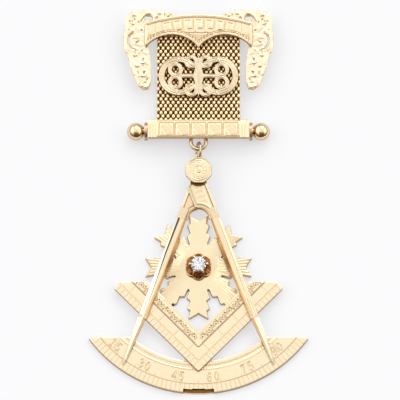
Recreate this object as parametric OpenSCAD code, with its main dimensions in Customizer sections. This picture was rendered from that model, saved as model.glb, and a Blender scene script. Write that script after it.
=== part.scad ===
// Masonic jewel: a brooch of banner, wings, mesh ribbon and bar, with a pendant of
// compasses, square, arc and sunburst. It lies on its back, face up, and +Y is its top.
// Every height in the plane is measured from the middle of the sunburst.

/* [Levels] */
// Thickness of the arc and of the sunburst, which lie lowest
base_t = 1.2; // [0.8:0.1:1.6]
// Thickness of the square
square_t = 1.1; // [0.8:0.1:1.4]
// Thickness of a compass leg
leg_t = 1.5; // [1.2:0.1:1.8]
// Thickness of the banner
banner_t = 1.05; // [0.8:0.05:1.4]
// Thickness of the mesh ribbon
ribbon_t = 1.3; // [1:0.1:1.6]

/* [Arc] */
// Outer radius of the arc
arc_r = 35.9; // [34:0.1:38]
// Height of the arc's centre above the middle of the sunburst
arc_up = 1.6; // [0.5:0.1:2.5]
// Width of the arc from edge to edge
arc_w = 8.5; // [7:0.1:10]
// Angle from straight down to each tip of the arc
arc_reach = 54; // [50:1:58]

/* [Square] */
// Distance from the middle of the sunburst down to the corner of the square
square_drop = 28.5; // [27:0.1:30]
// Width of each arm of the square
square_w = 7.5; // [6.5:0.1:8.5]
// Height at which both arms are cut off, below the middle of the sunburst
square_end = 4.3; // [3:0.1:7]

/* [Sunburst] */
// Radius of the low dome
sun_core_r = 6.6; // [5.5:0.1:7.5]
// Reach of the rays
ray_reach = 14; // [12:0.1:15]

/* [Compasses] */
// Height of the pivot above the middle of the sunburst
pivot_y = 25.7; // [25:0.1:26.5]
// Angle of each leg to the middle line
leg_angle = 20.8; // [19:0.1:22]
// Width of a leg
leg_w = 2.1; // [1.6:0.1:2.6]
// Width of the sloping flank at the belly of a leg's inner side
leg_flank = 0.7; // [0.3:0.1:0.9]
// Height of each leg's point above the lowest point of the arc
point_up = 7.46; // [6.5:0.02:9]
// Length of a leg's slender point
point_len = 13.8; // [12:0.1:15]
// Radius of the rosette
head_r = 3.7; // [3:0.05:3.9]

/* [Stone] */
// Diameter of the stone
stone_d = 4.1; // [3.4:0.1:4.6]
// Height of the setting over the sunburst
setting_h = 3.7; // [3:0.1:4.2]
// Radius of the setting's foot
setting_r = 3.6; // [3.3:0.05:3.9]

/* [Bar] */
// Length of the bar without its finials
bar_len = 27.2; // [24:0.1:29]
// Height of the bar's face
bar_h = 5.1; // [4.8:0.1:5.6]
// Radius of the ball of each finial
ball_r = 2.4; // [2.1:0.05:2.6]

/* [Banner] */
// Half of the banner's length
banner_half = 13.9; // [12.5:0.1:15]
// Radius of the banner's top edge
banner_r = 44.7; // [40:0.5:50]

/* [Ribbon] */
// Width of the mesh ribbon
ribbon_w = 22.4; // [20:0.1:23]

/* [Hidden] */
$fn = 64;
gap = 0.05; // between soldered pieces
eps = 0.01;

// levels
square_z = base_t + gap;
leg_z = square_z + square_t + gap;
leg_top = leg_z + leg_t;
bar_z = 0.1;
bar_t = 2 * (ball_r - bar_z);
bar_top = bar_z + bar_t;
ribbon_lift = 0.1;
ribbon_z = ball_r - ribbon_t / 2 + ribbon_lift;
ribbon_top = ribbon_z + ribbon_t;
wing_z = ribbon_top - 0.5;
wing_t = 1.1;
wing_top = wing_z + wing_t;
banner_z = wing_top + gap;
banner_top = banner_z + banner_t;
rim_h = 0.25;

// heights in the plane
ring_rise = 8.4;
bar_rise = 0.5;
banner_rise = 34.7;
ring_y = pivot_y + ring_rise;
bar_y = ring_y + bar_rise + bar_h / 2;
banner_y = ring_y + banner_rise;
banner_c = banner_y - banner_r;
wing_reach = 36.25;
arc_low = arc_up - arc_r;
middle_y = (ring_y + wing_reach + arc_low) / 2;

// compasses
leg_len = (pivot_y - arc_low - point_up) / cos(leg_angle);
leg_out = 0.85;
leg_in = leg_out - leg_w;
crook_r = 3.3;
crook_v = 12.3;
crook_u = leg_in - crook_r - 0.06;
lug_left = -4.4;
lug_border = 0.5;
lug_cut = 0.15;
lug_r = 2;
rivet_r = 0.8;
lug_t = leg_t / 2 - gap / 2;
knee_v = leg_len - point_len;
belly_v = 24;
knee_out = 0.08;
knee_len = 0.7;
point_w = 1;
head_z = leg_top + 0.4;
head_t = 1;

// ring, link and eye
ring_wire = 0.52;
ring_r = 2.05;
link_wire = 0.35;
link_r = 2.2;
link_y = ring_y - 2.55;
link_z = link_r + link_wire;
link_turn = 14;
eye_y = link_y - link_r;
eye_hole = 0.68;
eye_r = 1.3;
stem_w = 1.6;

// stone
dome_h = 0.45;
seat_z = base_t + 0.3;
setting_z = seat_z + gap;
girdle_z = setting_z + setting_h - 0.25;
stone_r = stone_d / 2;

// banner
banner_d = 9;
scallop_x = 7.2;
scallop_r = 9;
scallop_drop = 5.7;
rim_w = 0.6;
rim_cut = 1;
field_n = 6;
field_step = 2.25;
field_drop = 2.5;
field_bar = [0.6, 2.3];
field_lozenge = [1.2, 2.1];
back_bar_d = 1.2;
back_bar_inset = 0.2;
back_bar_margin = 1;

// brooch pin
pin_half = 8;
pin_y = ring_y + 31.25;
pin_z = 1.2;
pin_r = 0.4;
pin_block_w = 1.8;
pin_block_d = 1.7;

// ribbon and plaque
bar_wall = 0.7;
bar_face = 0.9;
bar_lean = 1.1;
slot_d = bar_wall + bar_lean;
ribbon_start = bar_y + bar_h / 2 - bar_wall - bar_lean / 2;
ribbon_end = ring_y + 30.2;
plaque_y = ring_y + 17.8;
plaque_t = 0.9;
plaque_band = 1.6;
plaque_half_h = 6;
plaque_lozenge_w = 3;
plaque_c_x = 5.3;
plaque_c_r = 4.6;
plaque_ring = [6.2, 1.75, 1.5]; // x, y, bend
plaque_knot = [1.9, 3.9, 1.35]; // x, y, bend
plaque_arm = 5.1;

// front of the bar
panel_len = 22.8;
panel_pitch = 4.4;
step_h = 0.22;
panel_frame = 1.1;
panel_margin = 1.9;
panel_gap = 0.5;
stud = 2.2;
end_step = 0.45;
end_pitch = 0.85;
collar_t = 0.8;
ball_sink = 0.05;
finial_drop = 0.25;

// rosette and legs
head_beads = 24;
head_petals = 12;
head_bead_r = 0.45;
head_wire_r = 0.22;
petal_len = 1.25;
petal_r = 0.36;
boss_r = 0.9;
flat_v = 13.8;

// ruled lines and scrolled channel
line_w = 0.28;
line_cut = 0.15;
square_lines = [1.8, 4.35];
square_tip = 22.3;
channel_mid = 5.8;
channel_w = 2;
channel_cut = 0.3;
scroll_n = 8;
scroll_start = 6.9;
scroll_pitch = 2.1;
scroll_r = 0.58;
scroll_band = 0.34;
scroll_shift = 0.12;

// rays
ray_notch = 1.5;

// lines, end and slot of the arc
arc_lines = [2.3, 6.1, 7.3];
arc_end = 19.1;
arc_slot_w = 8.2;
arc_slot_d = 1;
arc_ledge = 0.4;
arc_bevel = 0.2;

// setting
claws = 8;
claw_r = 0.28;
window_r = 0.8;
foot_r = 0.32;
claw_drop = 1;
claw_rise = 0.4;

// a block centred in the plane that stands on z
module block(x, y, z, w, d, h) {
  translate([x - w / 2, y - d / 2, z])
    cube([w, d, h]);
}

// a round rod of radius r bent along an arc in the plane, angles from +X
module bead_arc(x, y, z, bend, r, from, to) {
  translate([x, y, z])
    rotate([0, 0, from])
      rotate_extrude(angle = to - from)
        translate([bend, 0])
          circle(r = r);
}

// a flat band bent along an arc, with bevelled edges
module band_arc(x, y, z, bend, w, h, from, to) {
  bevel = min(w, h) / 4;
  translate([x, y, z])
    rotate([0, 0, from])
      rotate_extrude(angle = to - from)
        polygon([
          [bend - w / 2, 0],
          [bend + w / 2, 0],
          [bend + w / 2, h - bevel],
          [bend + w / 2 - bevel, h],
          [bend - w / 2 + bevel, h],
          [bend - w / 2, h - bevel]
        ]);
}

// a rhombus that stands on z
module lozenge(x, y, z, w, d, h) {
  translate([x, y, z])
    linear_extrude(h)
      polygon([[-w / 2, 0], [0, -d / 2], [w / 2, 0], [0, d / 2]]);
}

// a swelling lobe that lies along its angle, as in a carved leaf
module lobe(x, y, z, angle, len, r) {
  translate([x, y, z])
    rotate([0, 0, angle])
      rotate([0, 90, 0])
        cylinder(h = len, r1 = r * 0.45, r2 = r);
}

// a leaf of three lobes
module leaf(x, y, z, angle, len) {
  for (side = [-1, 0, 1])
    lobe(x, y, z, angle + side * 38, len * (1 - 0.25 * abs(side)), len * 0.2);
}

// Banner

// the banner seen from the front, grown by extra on every side
module banner_outline(extra) {
  difference() {
    intersection() {
      translate([0, banner_c])
        circle(r = banner_r + extra);
      translate([-banner_half - extra, banner_y - banner_d])
        square([2 * (banner_half + extra), banner_d + extra]);
    }
    for (side = [-1, 1])
      translate([side * scallop_x, banner_y - scallop_drop - scallop_r])
        circle(r = scallop_r - extra);
  }
}

// one rim along the top edge and one along each scallop
module banner_rims() {
  intersection() {
    translate([0, 0, banner_top - eps])
      linear_extrude(rim_h)
        banner_outline(0);
    union() {
      translate([0, banner_c, banner_top - rim_cut])
        rotate_extrude()
          translate([banner_r - rim_w, 0])
            square([rim_w + rim_cut, 2 * rim_cut]);
      for (side = [-1, 1])
        translate([side * scallop_x, banner_y - scallop_drop - scallop_r, banner_top - rim_cut])
          cylinder(h = 2 * rim_cut, r = scallop_r + rim_w);
    }
  }
}

// bars and lozenges in turn along the bare field
module banner_field() {
  for (i = [-field_n : field_n])
    translate([0, banner_c, banner_top - eps])
      rotate([0, 0, i * field_step])
        if (i % 2 == 0)
          block(0, banner_r - field_drop, 0, field_bar[0], field_bar[1], rim_h);
        else
          lozenge(0, banner_r - field_drop, 0, field_lozenge[0], field_lozenge[1], rim_h);
}

module banner() {
  color("#e8c98c") {
    translate([0, 0, banner_z])
      linear_extrude(banner_t)
        banner_outline(0);
    banner_rims();
    banner_field();
    block(0, ribbon_end - back_bar_inset - back_bar_d / 2, ribbon_top + gap,
          ribbon_w - 2 * back_bar_margin, back_bar_d, banner_z - ribbon_top);
  }
}

// Wings

// lobes of the right wing's edge, from the middle line and from the ring: x, y, radius
wing_lobes = [
  [7.6, 34.3, 1.05],
  [10.1, 34, 1.6],
  [13.1, 34, 2.25],
  [16.3, 33.3, 1.8],
  [17.1, 30.9, 1.5],
  [16, 27.5, 3.4],
  [15.2, 22.9, 2.2],
  [15, 19.4, 1.95],
  [15.1, 16.4, 1.6],
  [14.2, 15.3, 1.25]
];
// holes through it: x, y, radius
wing_holes = [
  [13.1, 34.1, 1.05],
  [10.1, 34, 0.5],
  [16.3, 33.2, 0.6],
  [14.2, 20.4, 0.55],
  [15.7, 18.4, 0.3],
  [15, 24.3, 0.3]
];
// scrolls that lie on it: x, y, bend, rod, from, to
wing_scrolls = [
  [13.1, 34, 1.65, 0.5, -50, 215],
  [10.1, 34, 1.05, 0.42, -10, 200],
  [16.3, 33.2, 1.2, 0.45, -75, 160],
  [16, 27.5, 2.9, 0.5, -105, 75],
  [15.2, 22.9, 1.75, 0.42, -100, 30],
  [15, 19.4, 1.5, 0.4, -95, 60],
  [14.5, 16, 1.45, 0.4, -110, 60]
];
// a crescent hole through the widest lobe: x, y
crescent = [16, 27.5];
crescent_r = 2.35;
// what joins the lobes behind the banner's end: x, y
wing_body = [
  [7, 33.3],
  [12, 35],
  [16.5, 34],
  [17, 29],
  [16.5, 24],
  [15, 16],
  [13.2, 14.9],
  [12.9, 18],
  [13.2, 21],
  [12.8, 25],
  [12.4, 31]
];
// leaves that lie on it: x, y, angle, length
wing_leaves = [
  [13.9, 30.2, 25, 2.6],
  [13.9, 27.5, -5, 2.5],
  [13.9, 25.4, -45, 2.7],
  [14, 21.9, -35, 2],
  [14.2, 18.7, -60, 2.1],
  [14.3, 16.6, -80, 1.8]
];

// an angle measured from +X, turned over for the left side
function turned(side, angle) = side > 0 ? angle : 180 - angle;

module wing_plate(side) {
  difference() {
    union() {
      for (p = wing_lobes)
        translate([side * p[0], p[1]])
          circle(r = p[2]);
      polygon([for (p = wing_body) [side * p[0], p[1]]]);
    }
    for (p = wing_holes)
      translate([side * p[0], p[1]])
        circle(r = p[2]);
    difference() {
      translate([side * crescent[0], crescent[1]])
        circle(r = crescent_r);
      translate([side * (crescent[0] - 0.9), crescent[1]])
        circle(r = crescent_r - 0.25);
    }
  }
}

module wing(side) {
  color("#ecd9a0")
    difference() {
      translate([0, ring_y, 0]) {
        translate([0, 0, wing_z])
          linear_extrude(wing_t)
            wing_plate(side);
        for (p = wing_scrolls)
          bead_arc(side * p[0], p[1], wing_top, p[2], p[3],
                   min(turned(side, p[4]), turned(side, p[5])),
                   max(turned(side, p[4]), turned(side, p[5])));
        for (p = wing_leaves)
          leaf(side * p[0], p[1], wing_top, turned(side, p[2]), p[3]);
      }
      translate([0, 0, wing_top])
        linear_extrude(banner_top)
          banner_outline(gap);
    }
}

module left_wing() {
  wing(-1);
}

module right_wing() {
  wing(1);
}

// Brooch pin

module brooch_pin() {
  color("#c9a25c") {
    for (side = [-1, 1])
      block(side * pin_half, pin_y, 0, pin_block_w, pin_block_d, banner_z - gap);
    translate([-pin_half, pin_y, pin_z])
      rotate([0, 90, 0])
        cylinder(h = 2 * pin_half, r = pin_r);
  }
}

// Ribbon and its plaque

module mesh_ribbon() {
  color("#a97b3c")
    translate([-ribbon_w / 2, ribbon_start, ribbon_z])
      cube([ribbon_w, ribbon_end - ribbon_start, ribbon_t]);
}

// the right half of the scroll plaque about its own middle
module plaque_half() {
  thin = plaque_band * 0.7;
  band_arc(plaque_c_x, 0, 0, plaque_c_r, plaque_band, plaque_t, -135, 135);
  for (side = [-1, 1])
    for (p = [plaque_ring, plaque_knot])
      band_arc(p[0], side * p[1], 0, p[2], thin, plaque_t, 0, 360);
  translate([0, -thin / 2, 0])
    cube([plaque_arm, thin, plaque_t]);
}

module scroll_applique() {
  color("#efd7a2")
    translate([0, plaque_y, ribbon_top + gap]) {
      plaque_half();
      mirror([1, 0, 0])
        plaque_half();
      lozenge(0, 0, 0, plaque_lozenge_w, 2 * plaque_half_h, plaque_t);
    }
}

// Bar and finials

// the bar's closed form, whose sides lean in behind its face
module bar_body(grow) {
  translate([-bar_len / 2 - grow, bar_y, 0])
    rotate([90, 0, 90])
      linear_extrude(bar_len + 2 * grow)
        polygon([
          [-bar_h / 2 - grow, bar_top + grow],
          [-bar_h / 2 - grow, bar_top - bar_face],
          [-bar_h / 2 - grow + bar_lean, bar_z - grow],
          [bar_h / 2 + grow - bar_lean, bar_z - grow],
          [bar_h / 2 + grow, bar_top - bar_face],
          [bar_h / 2 + grow, bar_top + grow]
        ]);
}

module lower_bar() {
  color("#ecc98a") {
    difference() {
      bar_body(0);
      bar_body(-bar_wall);
      block(0, bar_y + bar_h / 2, ribbon_z - gap, ribbon_w + 2 * gap, 2 * slot_d, ribbon_t + 2 * gap);
    }
    block(0, bar_y, bar_top - eps, panel_len, bar_h - panel_frame, step_h);
    for (side = [-1, 1])
      for (i = [0, 1])
        block(side * (bar_len / 2 - end_step - end_pitch * i), bar_y, bar_top - eps,
              end_step, bar_h, step_h);
    for (i = [-2 : 2]) {
      block(i * panel_pitch, bar_y, bar_top,
            panel_pitch - panel_gap, bar_h - panel_margin, 2 * step_h);
      lozenge(i * panel_pitch, bar_y, bar_top + 2 * step_h - eps, stud, stud, step_h * 0.6);
    }
  }
}

module finial() {
  color("#e3b873")
    translate([bar_len / 2 + gap, bar_y - finial_drop, ball_r])
      rotate([0, 90, 0]) {
        cylinder(h = collar_t, r = ball_r - gap);
        cylinder(h = collar_t + ball_r, r = ball_r / 2);
        translate([0, 0, collar_t + ball_r - ball_sink])
          sphere(r = ball_r);
      }
}

module left_finial() {
  mirror([1, 0, 0])
    finial();
}

module right_finial() {
  finial();
}

// Ring and link

module bar_ring() {
  color("#dcb876")
    difference() {
      translate([0, ring_y, ball_r])
        rotate_extrude()
          translate([ring_r, 0])
            circle(r = ring_wire);
      bar_body(gap);
    }
}

module jump_ring() {
  color("#e8d6ae")
    translate([0, link_y, link_z])
      rotate([0, 90 + link_turn, 0])
        rotate_extrude()
          translate([link_r, 0])
            circle(r = link_wire);
}

// Compasses

module compass_head() {
  color("#ead298")
    translate([0, pivot_y, 0]) {
      translate([0, 0, leg_z])
        cylinder(h = head_z + eps - leg_z, r = rivet_r);
      translate([0, 0, leg_top + gap])
        cylinder(h = head_z + eps - leg_top - gap, r = lug_r);
      translate([0, 0, head_z]) {
        cylinder(h = head_t, r = head_r - 0.3);
        for (i = [0 : head_beads - 1])
          rotate([0, 0, i * 360 / head_beads])
            translate([head_r - head_bead_r, 0, 0])
              cylinder(h = head_t, r = head_bead_r);
        translate([0, 0, head_t])
          rotate_extrude()
            translate([head_r - 1.05, 0])
              circle(r = head_wire_r);
        for (i = [0 : head_petals - 1])
          rotate([0, 0, i * 360 / head_petals])
            lobe(0.7, 0, head_t, 0, petal_len, petal_r);
        translate([0, 0, head_t - 0.5])
          cylinder(h = 0.8, r = boss_r);
      }
    }
}

// the broad end of a leg, which the crook's arch cuts; its length runs along -Y
module lug_outline(inset) {
  difference() {
    polygon([
      [leg_out - inset, -1],
      [leg_out - inset, -crook_v],
      [lug_left + inset, -crook_v],
      [lug_left + inset, -3.2],
      [-1.5, -1]
    ]);
    translate([crook_u, -crook_v])
      circle(r = crook_r + inset);
  }
}

// the slender end, from the knee down to the arc
module leg_point() {
  intersection() {
    translate([0, 0, base_t])
      linear_extrude(leg_top)
        polygon([
          [leg_in + 0.2, -knee_v + 0.3],
          [leg_out - 0.1, -knee_v + 0.3],
          [leg_out - 0.1, -leg_len + 1.5],
          [leg_out - 0.1 - point_w / 2, -leg_len],
          [leg_out - 0.1 - point_w, -leg_len + 1.5]
        ]);
    rotate([90, 0, 90])
      translate([0, 0, leg_in])
        linear_extrude(leg_w)
          polygon([
            [-knee_v + 0.3, leg_z],
            [-leg_len, base_t + gap],
            [-leg_len, base_t + gap + 0.5],
            [-knee_v + 0.3, leg_top - 0.25]
          ]);
  }
}

// the section of a leg at that distance from the pivot, with its inner side let out
module leg_section(v, flank) {
  translate([0, -v, 0])
    rotate([90, 0, 0])
      linear_extrude(eps)
        polygon([
          [leg_in - flank, leg_z],
          [leg_out, leg_z],
          [leg_out, leg_z + 0.55 * leg_t],
          [leg_out - 0.5, leg_top - 0.05],
          [leg_in + 0.35, leg_top - 0.25],
          [leg_in - flank, leg_z + 0.6 * leg_t - 0.85 * flank]
        ]);
}

// a leg with its lug between two heights, its pivot at the middle
module leg(lug_z) {
  difference() {
    translate([0, 0, lug_z])
      linear_extrude(lug_t)
        union() {
          lug_outline(0);
          circle(r = lug_r);
        }
    translate([0, 0, lug_z + lug_t - lug_cut])
      linear_extrude(lug_t)
        lug_outline(lug_border);
    cylinder(h = leg_top, r = rivet_r + gap);
  }
  translate([leg_in, -flat_v, leg_z])
    cube([leg_w, flat_v - crook_v + 1.6, leg_t]);
  hull() {
    leg_section(flat_v - 2 * eps, 0);
    leg_section(belly_v, leg_flank);
    leg_section(knee_v, 0);
  }
  translate([leg_in - knee_out, -knee_v - knee_len / 2, leg_z])
    cube([leg_w + 2 * knee_out, knee_len, leg_t]);
  leg_point();
}

// the eye behind the rosette that the link passes through
module link_eye() {
  difference() {
    union() {
      translate([0, eye_y, leg_z])
        cylinder(h = lug_t, r = eye_r);
      translate([-stem_w / 2, pivot_y, leg_z])
        cube([stem_w, eye_y - pivot_y, lug_t]);
    }
    translate([0, eye_y, 0])
      cylinder(h = leg_top, r = eye_hole);
    translate([0, pivot_y, 0])
      cylinder(h = leg_top, r = rivet_r + gap);
  }
}

module left_leg() {
  color("#e2bd7e")
    mirror([1, 0, 0])
      translate([0, pivot_y, 0])
        rotate([0, 0, leg_angle])
          leg(leg_z);
  color("#e2bd7e")
    link_eye();
}

module right_leg() {
  color("#f0dcab")
    translate([0, pivot_y, 0])
      rotate([0, 0, leg_angle])
        leg(leg_z + lug_t + gap);
}

// Square

// the strip of the square between two distances from its outer edge
module square_strip(d1, d2) {
  reach = square_drop + 1;
  intersection() {
    polygon([
      [0, -square_drop + d1 * sqrt(2)],
      [reach, -square_drop + d1 * sqrt(2) + reach],
      [reach, -square_drop + d2 * sqrt(2) + reach],
      [0, -square_drop + d2 * sqrt(2)],
      [-reach, -square_drop + d2 * sqrt(2) + reach],
      [-reach, -square_drop + d1 * sqrt(2) + reach]
    ]);
    polygon([
      [0, -square_drop - 1],
      [square_tip, square_tip - square_drop - 1],
      [square_tip, -square_end - 1.5],
      [square_tip - 1.5, -square_end],
      [1.5 - square_tip, -square_end],
      [-square_tip, -square_end - 1.5],
      [-square_tip, square_tip - square_drop - 1]
    ]);
  }
}

// small open scrolls in the channel of one arm
module channel_scrolls() {
  for (i = [0 : scroll_n - 1]) {
    along = scroll_start + i * scroll_pitch;
    across = (i % 2 == 0) ? scroll_shift : -scroll_shift;
    turn = (i % 2 == 0) ? 0 : 180;
    band_arc(along, channel_mid + across, square_z + square_t - channel_cut - eps,
             scroll_r, scroll_band, channel_cut, turn - 30, turn + 250);
  }
}

module set_square() {
  color("#ecd29a") {
    difference() {
      translate([0, 0, square_z])
        linear_extrude(square_t)
          square_strip(0, square_w);
      for (d = square_lines)
        translate([0, 0, square_z + square_t - line_cut])
          linear_extrude(square_t)
            square_strip(d, d + line_w);
      translate([0, 0, square_z + square_t - channel_cut])
        linear_extrude(square_t)
          square_strip(channel_mid - channel_w / 2, channel_mid + channel_w / 2);
    }
    for (side = [0, 1])
      mirror([side, 0, 0])
        translate([0, -square_drop, 0])
          rotate([0, 0, 45])
            channel_scrolls();
  }
}

// Sunburst

// sides of one ray: share of its reach, half width
ray_sides = [
  [0.3, 1.9],
  [0.485, 2.4],
  [0.605, 2.95],
  [0.66, 2],
  [0.81, 2.85],
  [0.85, 2.05],
  [1, 2.5]
];

module ray_outline() {
  right = [for (p = ray_sides) [p[0] * ray_reach, -p[1]]];
  left = [for (i = [len(ray_sides) - 1 : -1 : 0]) [ray_sides[i][0] * ray_reach, ray_sides[i][1]]];
  polygon(concat(right, [[ray_reach - ray_notch, 0]], left));
}

module sunburst() {
  dome_r = (sun_core_r * sun_core_r + dome_h * dome_h) / (2 * dome_h);
  color("#e6c07c") {
    for (i = [0 : 7])
      rotate([0, 0, i * 45])
        linear_extrude(base_t)
          ray_outline();
    intersection() {
      cylinder(h = seat_z, r = sun_core_r);
      translate([0, 0, base_t - 0.05 + dome_h - dome_r])
        sphere(r = dome_r);
    }
  }
}

// Arc

module arc_scale() {
  color("#f0d6a0")
    difference() {
      translate([0, arc_up, 0])
        rotate([0, 0, -90 - arc_reach])
          rotate_extrude(angle = 2 * arc_reach)
            translate([arc_r - arc_w, 0])
              polygon([
                [0, 0],
                [arc_w, 0],
                [arc_w, base_t - arc_bevel],
                [arc_w - arc_bevel, base_t],
                [0, base_t]
              ]);
      for (d = arc_lines)
        translate([0, arc_up, base_t - line_cut])
          rotate_extrude()
            translate([arc_r - d - line_w, 0])
              square([line_w, 1]);
      block(0, arc_r - arc_end, -1, 2.2 * arc_r, 2 * arc_r, base_t + 2);
      block(0, arc_low, arc_ledge, arc_slot_w, 2 * arc_slot_d, base_t);
    }
}

// Stone and setting

module setting() {
  slope = (setting_r - stone_r - 0.4) / setting_h;
  color("#9a6a2c") {
    difference() {
      translate([0, 0, setting_z])
        rotate_extrude()
          polygon([
            [setting_r - 0.5, 0],
            [setting_r, 0],
            [setting_r - slope * setting_h, setting_h],
            [stone_r + gap, setting_h],
            [stone_r + gap, setting_h - 0.35],
            [stone_r - 0.3, setting_h - 0.6],
            [setting_r - 0.6 - slope * 0.7 * setting_h, 0.7 * setting_h]
          ]);
      for (i = [0 : claws - 1])
        rotate([0, 0, (i + 0.5) * 360 / claws])
          translate([0, 0, setting_z + 0.4 * setting_h])
            rotate([0, 90, 0])
              cylinder(h = 2 * setting_r, r = window_r);
    }
    translate([0, 0, setting_z])
      rotate_extrude()
        translate([setting_r - foot_r, foot_r])
          circle(r = foot_r);
    for (i = [0 : claws - 1])
      rotate([0, 0, i * 360 / claws])
        translate([stone_r + 0.36, 0, 0]) {
          translate([0, 0, girdle_z - claw_drop])
            cylinder(h = claw_drop + claw_rise, r = claw_r);
          translate([-0.12, 0, girdle_z + claw_rise + 0.05])
            sphere(r = claw_r + 0.05);
        }
  }
}

module diamond() {
  color("#eef3f8")
    translate([0, 0, girdle_z])
      hull() {
        translate([0, 0, 0.28 * stone_r])
          cylinder(h = eps, r = 0.58 * stone_r, $fn = 8);
        rotate([0, 0, 22.5])
          translate([0, 0, 0.17 * stone_r])
            cylinder(h = eps, r = 0.83 * stone_r, $fn = 8);
        cylinder(h = 0.03 * stone_r, r = stone_r, $fn = 16);
        translate([0, 0, -0.7 * stone_r])
          cylinder(h = 0.35 * stone_r, r1 = 0.14 * stone_r, r2 = 0.5 * stone_r, $fn = 8);
        translate([0, 0, -0.84 * stone_r])
          cylinder(h = eps, r = eps, $fn = 8);
      }
}

translate([0, -middle_y, 0]) {
  banner();
  left_wing();
  right_wing();
  brooch_pin();
  mesh_ribbon();
  scroll_applique();
  lower_bar();
  left_finial();
  right_finial();
  bar_ring();
  jump_ring();
  compass_head();
  right_leg();
  left_leg();
  set_square();
  sunburst();
  arc_scale();
  setting();
  diamond();
}
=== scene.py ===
import math
import random

import bmesh
import bpy
import numpy as np
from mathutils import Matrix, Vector


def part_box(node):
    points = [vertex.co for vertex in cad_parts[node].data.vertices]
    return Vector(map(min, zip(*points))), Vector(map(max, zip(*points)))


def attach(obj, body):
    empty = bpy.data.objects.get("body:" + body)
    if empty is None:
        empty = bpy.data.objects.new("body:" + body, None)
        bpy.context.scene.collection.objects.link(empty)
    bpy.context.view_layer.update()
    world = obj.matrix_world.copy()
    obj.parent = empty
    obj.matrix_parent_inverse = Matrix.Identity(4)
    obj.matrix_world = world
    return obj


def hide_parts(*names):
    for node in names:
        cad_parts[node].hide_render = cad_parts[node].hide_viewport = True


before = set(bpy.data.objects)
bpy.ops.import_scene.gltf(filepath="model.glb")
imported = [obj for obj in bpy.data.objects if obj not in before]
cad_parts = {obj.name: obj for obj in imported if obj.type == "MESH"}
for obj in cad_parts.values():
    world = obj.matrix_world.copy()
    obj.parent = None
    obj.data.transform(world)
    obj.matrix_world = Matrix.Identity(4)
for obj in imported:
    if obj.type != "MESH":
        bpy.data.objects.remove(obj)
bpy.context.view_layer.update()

random.seed(7)

# Lengths below are millimetres, in the plane measured from the middle of the sunburst.
MIDDLE_Y = 18.025
MM = 0.001
HANDS = {-1: "left", 1: "right"}


def place_points(points):
    """Millimetres about the sunburst to metres in the frame."""
    points = np.asarray(points, float).reshape(-1, 3)
    return (points - [0, MIDDLE_Y, 0]) * MM


# Materials

def add(tree, kind, inputs=None, **settings):
    """A shader node with its settings and inputs; an input may be another node's output."""
    node = tree.nodes.new("ShaderNode" + kind)
    for key, value in settings.items():
        setattr(node, key, value)
    for key, value in (inputs or {}).items():
        if isinstance(value, bpy.types.NodeSocket):
            tree.links.new(value, node.inputs[key])
        else:
            node.inputs[key].default_value = value
    return node


def blend_colour(tree, factor, first, second):
    """The output of a node that mixes two colours."""
    node = add(tree, "Mix", data_type="RGBA")
    for index, value in ((0, factor), (6, first), (7, second)):
        if isinstance(value, bpy.types.NodeSocket):
            tree.links.new(value, node.inputs[index])
        else:
            node.inputs[index].default_value = value if index == 0 else (*value, 1)
    return node.outputs[2]


def maths(tree, operation, *values):
    """The output of a Math node."""
    return add(tree, "Math", dict(enumerate(values)), operation=operation).outputs[0]


def ramp(tree, value, start, end, low=0.0, high=1.0):
    """The output of a Map Range node, low at start and high at end."""
    ends = {"Value": value, "From Min": start, "From Max": end, "To Min": low, "To Max": high}
    return add(tree, "MapRange", ends).outputs["Result"]


def new_material(name, **settings):
    """A material with its node tree and its shader; settings go to the shader's inputs."""
    material = bpy.data.materials.new(name)
    material.use_nodes = True
    tree = material.node_tree
    shader = tree.nodes["Principled BSDF"]
    for key, value in settings.items():
        shader.inputs[key.replace("_", " ")].default_value = value
    return material, tree, shader


def gold(name, colour, rough=0.2, dark=(0.2, 0.09, 0.025), recess_shade=0.7, reach=0.5, side=0.55, brush=None,
         dents=0.12, cloudy=1):
    """Gold with cloudy tone, painted shade in recesses and on walls, fine scratches and worn spots.

    recess_shade and side are the shares of the painted shade, in the tone dark, in recesses and on walls;
    reach is a recess's width.
    """
    material, tree, shader = new_material(name, Metallic=1)
    where = add(tree, "TexCoord").outputs["Object"]
    cloud = add(tree, "TexNoise", {"Vector": where, "Scale": 240, "Detail": 5, "Roughness": 0.6})
    pale = tuple(min(1, c * 1.02) for c in colour)
    deep = tuple(c * (1 - cloudy * f) for c, f in zip(colour, (0.03, 0.05, 0.09)))
    tone = blend_colour(tree, cloud.outputs["Fac"], deep, pale)
    # Painted shade: a darker tone in recesses, from ambient occlusion.
    recess_ao = add(tree, "AmbientOcclusion", {"Distance": reach * MM}, samples=6)
    tone = blend_colour(tree, ramp(tree, recess_ao.outputs["AO"], 0.25, 0.85, recess_shade, 0), tone, dark)
    # Painted shade: a darker tone on walls that do not face up.
    normal = add(tree, "SeparateXYZ", {"Vector": add(tree, "NewGeometry").outputs["True Normal"]})
    upright = maths(tree, "ABSOLUTE", normal.outputs["Z"])
    tone = blend_colour(tree, ramp(tree, upright, 0.1, 0.55, side, 0), tone, dark)
    tree.links.new(tone, shader.inputs["Base Color"])
    worn = add(tree, "TexNoise", {"Vector": where, "Scale": 900, "Detail": 3})
    gloss = ramp(tree, worn.outputs["Fac"], 0.3, 0.7, rough * 0.75, rough * 1.35)
    tree.links.new(gloss, shader.inputs["Roughness"])
    stretch = add(tree, "Mapping", {"Vector": where, "Scale": brush or (1, 1, 1)})
    grain = {"Vector": stretch.outputs[0], "Scale": 1400 if brush else 5200, "Detail": 3}
    fine = add(tree, "TexNoise", grain)
    lumps = add(tree, "TexNoise", {"Vector": where, "Scale": 420, "Detail": 2})
    height = maths(tree, "ADD", lumps.outputs["Fac"], fine.outputs["Fac"])
    bump = add(tree, "Bump", {"Strength": dents, "Distance": 0.00012, "Height": height})
    tree.links.new(bump.outputs[0], shader.inputs["Normal"])
    return material


# In each finish recess_shade, reach and side set the painted shade in recesses and on walls.
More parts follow.
